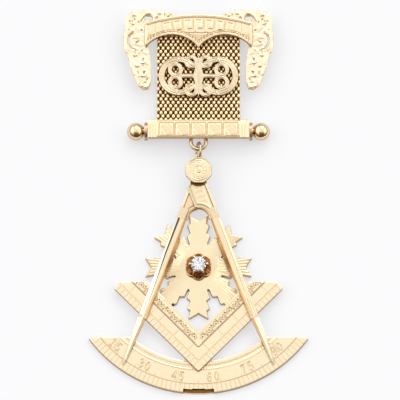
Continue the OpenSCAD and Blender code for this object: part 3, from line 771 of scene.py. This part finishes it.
# scrolls: x, y, bend, half width, from, to
WING_SCROLLS = (
    (13.4, 33.8, 1.5, 0.5, -30, 205), (10.4, 34.2, 1.05, 0.4, -10, 230),
    (17.3, 33.6, 1.25, 0.5, -80, 200), (15.3, 32.2, 3.6, 0.5, -20, 50),
    (16.2, 27.6, 3.3, 0.55, -75, 62), (17.1, 24.5, 0.95, 0.4, -120, 150),
    (16.2, 22.6, 1.9, 0.5, -90, 45), (15.9, 19.6, 1.7, 0.5, -85, 40), (15.3, 16.6, 1.5, 0.5, -120, 50),
    (7.3, 34.3, 0.75, 0.3, 20, 210), (14.2, 15.6, 0.8, 0.4, 60, 300), (14.9, 22.2, 0.8, 0.35, 90, 380),
    (14.6, 18.6, 0.8, 0.35, 80, 360),
)
# leaves: x, y, angle, length, half width
WING_LEAVES = (
    (13.6, 30.2, 62, 3.6, 0.8), (13.8, 29.8, 25, 4.4, 0.85), (14.0, 29.2, -12, 4.0, 0.8),
    (13.7, 26.8, 40, 3.4, 0.7), (13.8, 26.4, 5, 3.8, 0.75), (13.8, 25.8, -32, 3.6, 0.7),
    (13.4, 23.8, 30, 2.8, 0.6), (13.3, 21.0, 35, 2.8, 0.6), (13.1, 17.4, 25, 2.8, 0.6),
    (13.2, 16.0, -40, 2.4, 0.55), (16.6, 31.0, 75, 2.8, 0.6), (11.6, 33.0, 80, 2.8, 0.55),
    (9.2, 33.2, 70, 2.4, 0.5), (15.2, 32.2, 95, 2.6, 0.55), (17.8, 31.4, 60, 2.6, 0.55),
)


def turned(angle, length=1):
    """A step of that length in a direction in degrees."""
    return length * math.cos(math.radians(angle)), length * math.sin(math.radians(angle))


def scallops_at(x, y):
    """Distance to the two round cuts in the banner's lower edge."""
    return np.minimum(*(disc(x, y, side * SCALLOP_X, BANNER_TOP - SCALLOP_DROP - SCALLOP_R, SCALLOP_R)
                        for side in HANDS))


def banner_edge(x, y):
    """Distance to the banner's outline."""
    bow_shape = np.maximum(disc(x, y, 0, BANNER_TOP - BANNER_R, BANNER_R), np.abs(x) - BANNER_HALF)
    return np.maximum(bow_shape, -scallops_at(x, y))


def wing_relief(u, v):
    """Height of the scrolls and leaves, and the distance to the nearest scroll."""
    raised, nearest = np.zeros(u.shape), np.full(u.shape, 9.0)
    for x, y, bend, half, start, end in WING_SCROLLS:
        d = bow(u, v, x, y, bend, start, end)
        nearest = np.minimum(nearest, d)
        raised = np.maximum(raised, (0.08 + 0.3 * half) * np.clip(1 - (d / half) ** 2, 0, 1))
    for x, y, angle, length, half in WING_LEAVES:
        c, s = turned(angle)
        along, across = ((u - x) * c + (v - y) * s) / length, -(u - x) * s + (v - y) * c
        spread = half * np.sin(math.pi * np.clip(along, 0, 1) ** 0.75) + 1e-6
        share = np.clip(1 - (across / spread) ** 2, 0, 1) * ((along > 0) & (along < 1))
        vein = 0.05 * np.exp(-(across / 0.09) ** 2)
        raised = np.maximum(raised, 0.16 * share * (0.55 + 0.45 * np.clip(along, 0, 1)) - vein)
    return raised, nearest


def wing(side):
    """A pierced and chased scroll wing, drawn as the right one."""
    def inside(u, v):
        d = polygon(u, v, WING_EDGE)
        for x, y, r in WING_NOTCHES + WING_HOLES:
            d = np.maximum(d, -disc(u, v, x, y, r))
        gap = np.maximum(np.abs(np.hypot(u - 16.1, v - 27.6) - 2.75) - 0.24, np.abs(v - 27.1) - 1.9)
        return np.maximum(d, -np.maximum(gap, 17 - u))

    def top(u, v, edge):
        raised, nearest = wing_relief(u, v)
        chased = 0.02 * np.cos(2 * math.pi * nearest / 0.55) * (raised < 0.06)
        cuts = np.full(u.shape, 9.0)
        for x, y, angle, half in WING_CUTS:
            c, s = turned(angle, half)
            cuts = np.minimum(cuts, path(u, v, [(x - c, y - s), (x + c, y + s)]))
        z = WING_Z + WING_T + raised + chased - 0.22 * groove(cuts, 0.3) - bevel(edge, 0.2, 0.08)
        z -= 0.35 * step(path(u, v, WING_BROW) - 0.08, 0.1)
        covered = banner_edge(side * u, v + RING_Y) < 0.04
        return np.where(covered, np.minimum(z, BANNER_Z - 0.06), z)

    def place(u, v):
        return side * u, v + RING_Y

    relief(f"wing_carved_{HANDS[side]}", grid(5, 20.2, 0.13), grid(13.8, 37, 0.13), inside, top,
           WING_Z, f"{HANDS[side]}_wing", place=place, merge=0.3, smooth=60)


wing(-1)
wing(1)


# Banner

BANNER_DEEP = 9.4
CUSP_Y, CUSP_PITCH = 63.5, 0.5
FRET_PITCH, FRET_TURNS, FRET_V = 3.0, 7, 1.3
# one turn of the fret: along, across
FRET = ((0, 3.2), (0, 0), (2.1, 0), (2.1, 2.3), (0.95, 2.3), (0.95, 1.15))


def banner():
    """The curved plate with its rims, its fret and a hatched cusp between the scallops."""
    reach = BANNER_R * math.asin((BANNER_HALF + 0.1) / (BANNER_R - BANNER_DEEP))
    starts = [(i - FRET_TURNS / 2) * FRET_PITCH + 0.45 for i in range(FRET_TURNS)]

    def place(u, v):
        return ((BANNER_R - v) * np.sin(u / BANNER_R),
                BANNER_TOP - BANNER_R + (BANNER_R - v) * np.cos(u / BANNER_R))

    def inside(u, v):
        return banner_edge(*place(u, v))

    def top(u, v, edge):
        x, y = place(u, v)
        scallops = scallops_at(x, y)
        rim = np.maximum(step(v - 0.55), step(scallops - 0.5))
        cross = groove(np.abs(np.abs(x) - 11.6), 0.2) * step(0.9 - v) * step(1.25 - scallops)
        foot = groove(y - CUSP_Y - 0.15, 0.2) * step(0.6 - scallops) * step(np.abs(x) - 6)
        line = np.maximum.reduce([groove(v - 0.85, 0.2), groove(scallops - 0.85, 0.2),
                                  groove(scallops - 1.25, 0.16), cross, foot])
        raised = np.zeros(u.shape)
        for start in starts:
            near = (u > start - 0.5) & (u < start + 2.6)
            d = path(u[near], v[near], [(start + a, FRET_V + b) for a, b in FRET]) - 0.32
            raised[near] = np.maximum(raised[near], step(d, 0.1) - 0.5 * groove(d - 0.12, 0.2))
        raised *= step(1.2 - scallops)
        cusp = step(np.maximum(y - CUSP_Y, 0.6 - scallops), 0.1)
        z = BANNER_Z + BANNER_T - 0.12 * cusp * (1 - np.mod(y / CUSP_PITCH, 1))
        return z + 0.2 * rim + 0.13 * raised - 0.12 * line - bevel(edge, 0.25, 0.2)

    relief("banner_ornament", grid(-reach, reach, 0.12), grid(0, BANNER_DEEP, 0.12), inside, top,
           BANNER_Z, "banner", place=place, smooth=25)


def banner_end(side):
    """A rounded moulding over the end of the banner."""
    line = [(side * (BANNER_HALF + 0.05), 59.9 + 0.65 * i, 4.12) for i in range(11)]
    radii = [0.25, 0.5, 0.6] + [0.64] * 5 + [0.6, 0.5, 0.25]
    tubes(f"banner_end_{HANDS[side]}", [(line, radii, False)], "banner", sides=16, stands_for=False,
          smooth=70, finish="wing_gold")


banner()
banner_end(-1)
banner_end(1)


# Scroll plaque

PLAQUE_Y = 51.9
PLAQUE_Z, PLAQUE_T = 3.2, 0.9
# bands of the right half: x, y, bend, width, from, to
PLAQUE_BANDS = (
    (5.3, 0, 4.6, 1.6, -135, 135), (6.2, 1.75, 1.5, 1.12, -180, 180),
    (6.2, -1.75, 1.5, 1.12, -180, 180), (1.9, 3.9, 1.35, 1.12, -180, 180),
    (1.9, -3.9, 1.35, 1.12, -180, 180),
)
PLAQUE_ARM, PLAQUE_ARM_W, PLAQUE_MIDDLE = 5.1, 1.12, ((-1.5, 0), (0, -6), (1.5, 0), (0, 6))


def scroll_plaque():
    """A pierced plaque of mirrored scrolls with engraved lines."""
    def bands(u, v):
        return [(bow(np.abs(u), v, x, y, bend, start, end), w) for x, y, bend, w, start, end in PLAQUE_BANDS]

    def middle(u, v):
        return polygon(u, v, PLAQUE_MIDDLE)

    def arm(u, v):
        return np.maximum(np.abs(v) - PLAQUE_ARM_W / 2, np.abs(u) - PLAQUE_ARM)

    def inside(u, v):
        return np.minimum.reduce([middle(u, v), arm(u, v)] + [d - width / 2 for d, width in bands(u, v)])

    def top(u, v, edge):
        core = middle(u, v)
        line = groove(core + 0.45, 0.14)
        for d, width in bands(u, v):
            line = np.maximum(line, groove(d - width * 0.2, 0.13) * step(-core - 0.05))
        line = np.maximum(line, groove(np.abs(v) - 0.2, 0.12) * step(arm(u, v)) * step(-core))
        return PLAQUE_Z + PLAQUE_T + 0.04 - 0.09 * line - bevel(edge, 0.2, 0.14)

    relief("plaque_engraved", grid(-11, 11, 0.095), grid(-6.2, 6.2, 0.095), inside, top,
           PLAQUE_Z, "scroll_applique", place=lambda u, v: (u, v + PLAQUE_Y), smooth=40)


scroll_plaque()


# Bar

BAR_Y, BAR_LEN, BAR_H, BAR_Z, BAR_TOP = 37.15, 27.2, 5.1, 0.1, 4.7
BAR_FACE, BAR_LEAN = 0.9, 1.1
PANEL_PITCH, PANEL_W, PANEL_H, PANEL_LAST = 4.3, 3.9, 3.5, 2
COLLAR_W, COLLAR_H, COLLAR_FROM, COLLAR_TO = 2.42, 2.4, 13.68, 14.44


def bar_body():
    """The plain body, wide in front and narrow behind."""
    half = BAR_H / 2
    section = [(-half, BAR_TOP - 0.2), (-half, BAR_TOP - BAR_FACE), (BAR_LEAN - half, BAR_Z)]
    section += [(-u, z) for u, z in reversed(section)]
    prism("bar_body", [(-BAR_LEN / 2, section), (BAR_LEN / 2, section)], lambda u, v: (v, u + BAR_Y),
          "lower_bar", smooth=20)


def bar_front():
    """The front with stepped ends and five plain panels, each with a cross in a lozenge."""
    half = BAR_H / 2

    def inside(u, v):
        return np.maximum(np.abs(u) - BAR_LEN / 2, np.abs(v) - half)

    def top(u, v, edge):
        end, side = BAR_LEN / 2 - np.abs(u), np.abs(v) - half
        z = BAR_TOP + 0.1 * step(end - 0.5) + 0.1 * step(2.5 - end, 0.1) * step(side + 0.7, 0.1)
        z += 0.08 * step(np.abs(end - 1.35) - 0.28) + 0.08 * step(np.abs(end - 2.1) - 0.2)
        z -= 0.12 * groove(side + 0.42, 0.16) * step(2.4 - end, 0.1)
        a = np.abs(u - np.clip(np.round(u / PANEL_PITCH), -PANEL_LAST, PANEL_LAST) * PANEL_PITCH)
        b = np.abs(v)
        block = np.maximum(a - PANEL_W / 2, b - PANEL_H / 2)
        lozenge = (a + b) * DIAGONAL - 0.95
        cross = groove(np.minimum(a, b), 0.14) * step(lozenge - 0.75) * step(-lozenge - 0.2)
        cut = np.maximum.reduce([groove(block + 0.32, 0.14), groove(lozenge, 0.15), cross])
        z -= 0.1 * groove(block, 0.2) + 0.05 * cut * step(block)
        return z - 0.12 * np.clip(1 + edge / 0.15, 0, 1)

    relief("bar_front", grid(-BAR_LEN / 2, BAR_LEN / 2, 0.1), grid(-half, half, 0.1), inside,
           top, BAR_TOP - 0.25, "lower_bar", place=lambda u, v: (u, v + BAR_Y), smooth=30)


def finial_collar(side):
    """The dull collar between the bar and its ball, darker as painted shade between them."""
    rim = [(COLLAR_W * c, COLLAR_W + COLLAR_H * s) for c, s in circle(1, 40)]
    prism(f"finial_collar_{HANDS[side]}", [(COLLAR_FROM, rim), (COLLAR_TO, rim)],
          lambda u, v: (side * v, u + BAR_Y - 0.25), f"{HANDS[side]}_finial", stands_for=False, smooth=30,
          finish="collar_shade_gold")


bar_body()
bar_front()
finial_collar(-1)
finial_collar(1)


# Rosette of the compasses

PIVOT_Y, LEG_ANGLE = 25.7, 20.8
HEAD_R, HEAD_Z, HEAD_T = 3.7, 4.3, 1.0
HEAD_BEADS, HEAD_PETALS = 40, 12
# grooves: radius, depth, width; rows of beads: radius, count
HEAD_RINGS = ((3.05, 0.05, 0.2), (2.45, 0.03, 0.14), (0.95, 0.05, 0.14), (0.45, 0.05, 0.14))
HEAD_ROWS = ((2.15, 30), (1.7, 24), (1.3, 18))
RIVET = ((0.72, 2.4), (0.8, 2.5), (0.8, 3.94), (1.9, 3.96), (2.0, 4.05), (2.0, 4.25), (1.9, 4.31))


def dome(d, r):
    """Height, up to 1, of a round boss at a distance from its middle."""
    return np.sqrt(np.clip(1 - (d / r) ** 2, 0, 1))


def rosette():
    """The head with a beaded and waved edge, rows of beads, petals and a boss."""
    def polar_at(u, v):
        return np.hypot(u, v - PIVOT_Y), np.arctan2(v - PIVOT_Y, u)

    def inside(u, v):
        r, angle = polar_at(u, v)
        return r - HEAD_R + 0.12 + 0.07 * np.cos(8 * angle) - 0.05 * np.cos(HEAD_BEADS * angle)

    def top(u, v, edge):
        r, angle = polar_at(u, v)
        rope = 0.5 + 0.5 * np.cos(HEAD_BEADS * angle + 5 * r)
        z = HEAD_Z + HEAD_T - 0.12 + step(3.15 - r) * (0.04 + 0.07 * rope) + 0.04 * dome(r - 2.72, 0.16)
        for radius, depth, width in HEAD_RINGS:
            z -= depth * groove(r - radius, width)
        for radius, dots in HEAD_ROWS:
            nearest = np.round(angle * dots / (2 * math.pi)) * 2 * math.pi / dots
            d = np.hypot(u - radius * np.cos(nearest), v - PIVOT_Y - radius * np.sin(nearest))
            z += 0.09 * dome(d, 0.17)
        z += 0.05 * np.abs(np.cos(HEAD_PETALS / 2 * angle)) ** 0.6 * dome(r - 1.5, 1.0)
        return z + 0.12 * dome(r, 0.8) - bevel(edge, 0.2, 0.15)

    us, vs = grid(-3.9, 3.9, 0.075), grid(PIVOT_Y - 3.9, PIVOT_Y + 3.9, 0.075)
    relief("rosette", us, vs, inside, top, HEAD_Z, "compass_head", merge=0.2, smooth=45)
    # Painted shadow: a dark plate on the lug along the rosette's lower edge.
    relief("rosette_shadow", grid(-2.3, 2.3, 0.2), grid(PIVOT_Y - 4.3, PIVOT_Y - 2, 0.2),
           lambda u, v: np.maximum(disc(u, v, 0, PIVOT_Y - 0.5, 3.65), np.abs(u) - 2.15),
           lambda u, v, edge: np.full(u.shape, 3.99), 3.91, "compass_head", stands_for=False, finish="shade_dark")
    lathe("rivet", RIVET, (0, PIVOT_Y), "compass_head", stands_for=False)


rosette()


# Legs of the compasses, with u across a leg, outwards, and v up from the pivot

LEG_TOP, LEG_FOOT = 3.9, 2.5
FLAT_V, BELLY_V, KNEE_V, TIP_V = -13.8, -24, -42.4, -54.5
CROOK_AT, CROOK_R = (-4.61, -12.3), 3.25
LUG_Z = {"left": 2.96, "right": 3.74}
LUG_EDGE = ((0.31, -1.2), (0.31, -12.25), (-3.86, -12.25), (-3.86, -3.4), (-1.4, -1.2))
# the seam between rail and face: v, middle, half width, and the face's inner edge
SEAMS = {
    "left": ((FLAT_V, 0.26, 0.24, -1), (BELLY_V, 0.22, 0.16, -1), (-32, -0.1, 0.05, -0.9),
             (KNEE_V, -0.42, 0.01, -0.55)),
    "right": ((FLAT_V, 0.24, 0.01, -1), (BELLY_V, 0.2, 0.01, -1), (-32, -0.1, 0.01, -0.9),
              (KNEE_V, -0.42, 0.01, -0.55)),
}
# the flank: v, how far it leans out, and its upper edge
FLANKS = ((FLAT_V + 1, 0.25, -1.05), (BELLY_V, 0.7, -1.05), (KNEE_V, 0, -0.6))
# the point: v, foot of its inner side, inner edge, outer edge, underside, top
POINTS = ((KNEE_V + 0.3, -1.26, -0.57, 0.88, 2.5, 3.98), (TIP_V, -0.26, 0.04, 0.78, 1.5, 2.06))


def leg_place(side):
    """The map from (u, v) on a leg to the plane; side 1 is the right leg."""
    c, s = turned(LEG_ANGLE)

    def place(u, v):
        return side * (u * c - v * s), PIVOT_Y + u * s + v * c

    return place


def lug(side):
    """The broad end: a finely beaded panel, on the right leg with a border, and a raised rail."""
    z, node = LUG_Z[HANDS[side]], f"{HANDS[side]}_leg"

    def inside(u, v):
        return np.maximum(polygon(u, v, LUG_EDGE), -disc(u, v, *CROOK_AT, 3.84))

    def top(u, v, edge):
        beads = np.sin(math.pi * u / 0.24) * np.sin(math.pi * v / 0.24)
        rows = 0.5 + 0.5 * np.cos(2 * math.pi * v / 1.44)
        chased = (0.055 * (0.5 + 0.5 * beads) + 0.02 * rows) * step(edge + 0.85)
        border = chased + 0.06 * groove(edge + 0.78, 0.2)
        return z + 0.13 - (side > 0) * border - 0.1 * groove(edge + 0.1, 0.2)

    # The left panel's warmer, darker tone is painted shade under the right leg's lug.
    relief(f"lug_panel_{HANDS[side]}", grid(-4, 0.5, 0.06), grid(-12.4, -1, 0.06), inside, top,
           z, node, place=leg_place(side), stands_for=False, smooth=40,
           finish="lug_shade_gold" if side < 0 else None)
    stations = [(v, [(0.36, z), (0.9, z), (0.9, z + rise - 0.12), (0.36, z + rise)])
                for v, rise in ((-2.4, 0.28), (-9.5, 0.3), (-13.9, LEG_TOP - z))]
    prism(f"lug_rail_{HANDS[side]}", stations, leg_place(side), node, stands_for=False, smooth=20,
          finish="face_gold")


def leg_facets(side):
    """The rail, the broad face, the seam between them, the inner flank and the slender point of a leg."""
    hand = HANDS[side]
    rail, face, seam_shade = [], [], []
    for v, middle, half, inner in SEAMS[hand]:
        low, high = middle - half, middle + half
        crest = 3.935 + 0.13 * max(0, BELLY_V - v) / (BELLY_V - KNEE_V)
        rail.append((v, [(high, LEG_FOOT), (0.9, LEG_FOOT), (0.9, 3.62), (0.86, 3.68), (high + 0.04, 3.94),
                         (high, LEG_TOP)]))
        face.append((v, [(inner, LEG_FOOT), (low, LEG_FOOT), (low, 3.91), (low - 0.04, 3.945),
                         (inner + 0.1, crest), (inner, crest - 0.05)]))
        seam_shade.append((v, [(low - 0.02, 3.5), (high + 0.02, 3.5), (high + 0.02, 3.908), (low - 0.02, 3.908)]))
    flank = [(v, [(-1.28 - out, 2.46), (-1.28 - out, 3.34 - 0.85 * out), (-1.26, 3.86),
                  (inner - 0.05, 3.925), (inner + 0.05, 3.93), (inner + 0.05, 3.4)])
             for v, out, inner in FLANKS]
    point, shade = [], []
    for v, foot, inner, outer, low, high in POINTS:
        point.append((v, [(inner, low), (outer, low), (outer, high - 0.3), (outer - 0.1, high - 0.24),
                          (inner + 0.1, high), (inner, high - 0.06)]))
        shade.append((v, [(foot, low), (foot, high - 0.5), (inner + 0.02, high - 0.05),
                          (inner + 0.02, high - 0.4)]))
    # Painted light on the leg: the left rail and the point are paler, as painted highlights; the seam is
    # near black and the flank and the point's inner side are orange, as painted shade.
    parts = {"rail": (rail, "face_gold" if side > 0 else "rail_highlight_gold"), "face": (face, "face_gold"),
             "seam_shade": (seam_shade, "seam_shade"), "flank": (flank, "flank_shade_gold"), "point": (point, "point_highlight_gold"),
             "shade": (shade, "flank_shade_gold")}
    for name, (stations, finish) in parts.items():
        prism(f"leg_{name}_{hand}", stations, leg_place(side), f"{hand}_leg", stands_for=False, smooth=20,
              finish=finish)


def crook_wall(hand, start, end, z):
    """A leg's part of the inner wall of the arch between the legs, from and to an angle; its warm tone is
    painted shade.
    """
    middle = leg_place(1)(*CROOK_AT)[1]
    turns = [start + (end - start) * i / 16 for i in range(17)]
    line = [(x, middle + y, z) for x, y in (turned(turn, CROOK_R) for turn in turns)]
    tubes(f"crook_wall_{hand}", [(line, 0.52, False)], f"{hand}_leg", stands_for=False, smooth=60,
          finish="flank_shade_gold")


lug(-1)
lug(1)
leg_facets(-1)
leg_facets(1)
crook_wall("right", 0, 97, 3.3)
crook_wall("left", 97, 180, 2.46)


# Diamond

STONE_R, TABLE_R, GIRDLE_Z, GIRDLE_T = 2.04, 1.16, 5.0, 0.08
CROWN_H, PAVILION_H = 0.62, 1.74
STAR_R, HIP_R = 1.62, 0.45


def brilliant():
    """A round brilliant of 57 facets."""
    across = math.cos(math.radians(22.5))
    top, low = GIRDLE_Z + GIRDLE_T / 2, GIRDLE_Z - GIRDLE_T / 2
    star_z = top + (STONE_R - STAR_R * across) * CROWN_H / (STONE_R - TABLE_R)
    hip_z = low - (STONE_R - HIP_R * across) * PAVILION_H / STONE_R
    rings = ((TABLE_R, 8, 0, top + CROWN_H), (STAR_R, 8, 22.5, star_z), (STONE_R, 16, 0, top),
             (STONE_R, 16, 0, low), (HIP_R, 8, 22.5, hip_z))
    points = [(x, y, z) for radius, count, start, z in rings for x, y in circle(radius, count, start)]
    points.append((0, 0, low - PAVILION_H))
    table, star, upper, lower, hip, culet = 0, 8, 16, 32, 48, 56
    faces = [list(range(table, star))]
    for k in range(8):
        n, before = (k + 1) % 8, (k - 1) % 8
        faces.append((table + k, star + k, table + n))
        faces.append((table + k, star + before, upper + 2 * k, star + k))
        faces.append((star + k, upper + 2 * k, upper + 2 * k + 1))
        faces.append((star + k, upper + 2 * k + 1, upper + 2 * n))
        faces.append((culet, hip + k, lower + 2 * k, hip + before))
        faces.append((hip + k, lower + 2 * k + 1, lower + 2 * k))
        faces.append((hip + k, lower + 2 * n, lower + 2 * k + 1))
    faces += [(upper + k, lower + k, lower + (k + 1) % 16, upper + (k + 1) % 16) for k in range(16)]
    mesh = piece("brilliant", points, faces, "diamond", smooth=1).data
    turn_outwards(mesh)
    mesh.polygons.foreach_set("use_smooth", [False] * len(mesh.polygons))


brilliant()


# Setting

PETALS, LIP_STEPS = 6, 14
LIP_R, LIP_OUT, LIP_Z, LIP_DROP = 2.98, 0.54, 2.75, 0.85
# sections from the axis: radius, z, and for wires their own radius
SHANK = ((2.9, 2.7, 0.13), (2.6, 3.7, 0.14), (2.46, 4.8, 0.2))
CLAW = ((2.48, 4.7, 0.24), (2.38, 5.25, 0.3), (2.26, 5.5, 0.33), (2.0, 5.6, 0.2))
CUP = ((2.6, 1.56), (3.15, 1.6), (3.1, 2.2), (2.75, 2.9), (2.5, 3.6), (2.35, 4.3), (2.2, 4.62), (2.02, 4.62),
       (1.7, 4.2), (2.5, 1.75))


def setting():
    """A scalloped cup of six petals with a pale lip, and a claw between each two of them."""
    wires, claws = [], []
    shares = [k / LIP_STEPS for k in range(LIP_STEPS + 1)]
    for i in range(PETALS):
        lip = []
        for t in shares:
            out = math.sin(math.pi * t) ** 0.7
            lip.append((*turned(360 * (i + t) / PETALS, LIP_R + LIP_OUT * out), LIP_Z - LIP_DROP * out))
        wires.append((lip, [0.12 + 0.05 * math.sin(math.pi * t) for t in shares], False))
        for spine, lines in ((SHANK, wires), (CLAW, claws)):
            line = [(*turned(360 * i / PETALS, r), z) for r, z, _ in spine]
            lines.append((line, [wire_r for _, _, wire_r in spine], False))
    # The lips' orange is painted shade and the claws' pale tone a painted highlight.
    tubes("setting_lips", wires, "setting", sides=10, smooth=70, finish="rim_shade_gold")
    tubes("setting_claws", claws, "setting", sides=10, stands_for=False, smooth=70, finish="claw_highlight_gold")

    def scoop(a, r, z):
        lobe = abs(math.sin(PETALS / 2 * a)) ** 0.8
        if r < 2.3:
            return 1
        return 1 - (0.12 + 0.035 * math.cos(30 * a)) * lobe if z > 2.3 else 0.95 + 0.14 * lobe

    # The cup's dark brown is painted shade inside the setting.
    lathe("setting_cup", CUP, (0, 0), "setting", sides=180, stands_for=False, bumps=scoop)


setting()


# Stage, light and camera

FLOOR_HALF = 1.5


def stage():
    """A pale sheet under the jewel."""
    corners = [(x * FLOOR_HALF, y * FLOOR_HALF, 0) for x, y in ((-1, -1), (1, -1), (1, 1), (-1, 1))]
    mesh = bpy.data.meshes.new("floor")
    mesh.from_pydata(corners, [], [(0, 1, 2, 3)])
    floor = bpy.data.objects.new("floor", mesh)
    bpy.context.scene.collection.objects.link(floor)
    paper = new_material("paper", Base_Color=(0.42, 0.425, 0.436, 1), Emission_Color=(0.96, 0.975, 1, 1),
                         Emission_Strength=0.505, Roughness=0.8, Specular_IOR_Level=0.1)
    mesh.materials.append(paper[0])


def studio():
    """A pale studio with two side screens, dim and warm towards -Y, and one soft lamp."""
    world = bpy.data.worlds.new("studio")
    bpy.context.scene.world = world
    world.use_nodes = True
    tree = world.node_tree
    background = tree.nodes["Background"]
    split = add(tree, "SeparateXYZ", {"Vector": add(tree, "TexCoord").outputs["Generated"]})
    lean = ramp(tree, split.outputs["Y"], -0.6, -0.12, 0.15, 1)
    level = maths(tree, "MULTIPLY", ramp(tree, split.outputs["Z"], 0, 0.7, 0.4, 1.15), lean)
    sideways = maths(tree, "ABSOLUTE", maths(tree, "SUBTRACT", split.outputs["X"], 0.1))
    screens = ramp(tree, sideways, 0.42, 0.6, 0, 0.8)
    glow = maths(tree, "MULTIPLY", screens, ramp(tree, split.outputs["Z"], 0.2, 0.5))
    tree.links.new(maths(tree, "ADD", level, glow), background.inputs["Strength"])
    tree.links.new(blend_colour(tree, lean, (1, 0.62, 0.34), (0.985, 0.992, 1)), background.inputs["Color"])
    bpy.context.scene.view_settings.view_transform = "Standard"

    key = bpy.data.lights.new("key", "SUN")
    key.energy = 0.6
    key.angle = 0.6
    lamp = bpy.data.objects.new("key", key)
    lamp.rotation_euler = Vector((0.3, 1.1, 1.0)).to_track_quat("Z", "Y").to_euler()
    bpy.context.scene.collection.objects.link(lamp)


def camera():
    """A long lens a little below the jewel's foot, which looks along +Y."""
    distance, elevation = 1.8, math.radians(77)
    aim = Vector((0.0004, 0.00015, 0.002))
    data = bpy.data.cameras.new("camera")
    data.sensor_width = 36
    data.lens = 36 * distance / 0.107
    data.clip_start, data.clip_end = 0.01, 20
    made = bpy.data.objects.new("camera", data)
    made.location = aim + distance * Vector((0, -math.cos(elevation), math.sin(elevation)))
    made.rotation_euler = (aim - made.location).to_track_quat("-Z", "Y").to_euler()
    bpy.context.scene.collection.objects.link(made)
    bpy.context.scene.camera = made


stage()
studio()
camera()
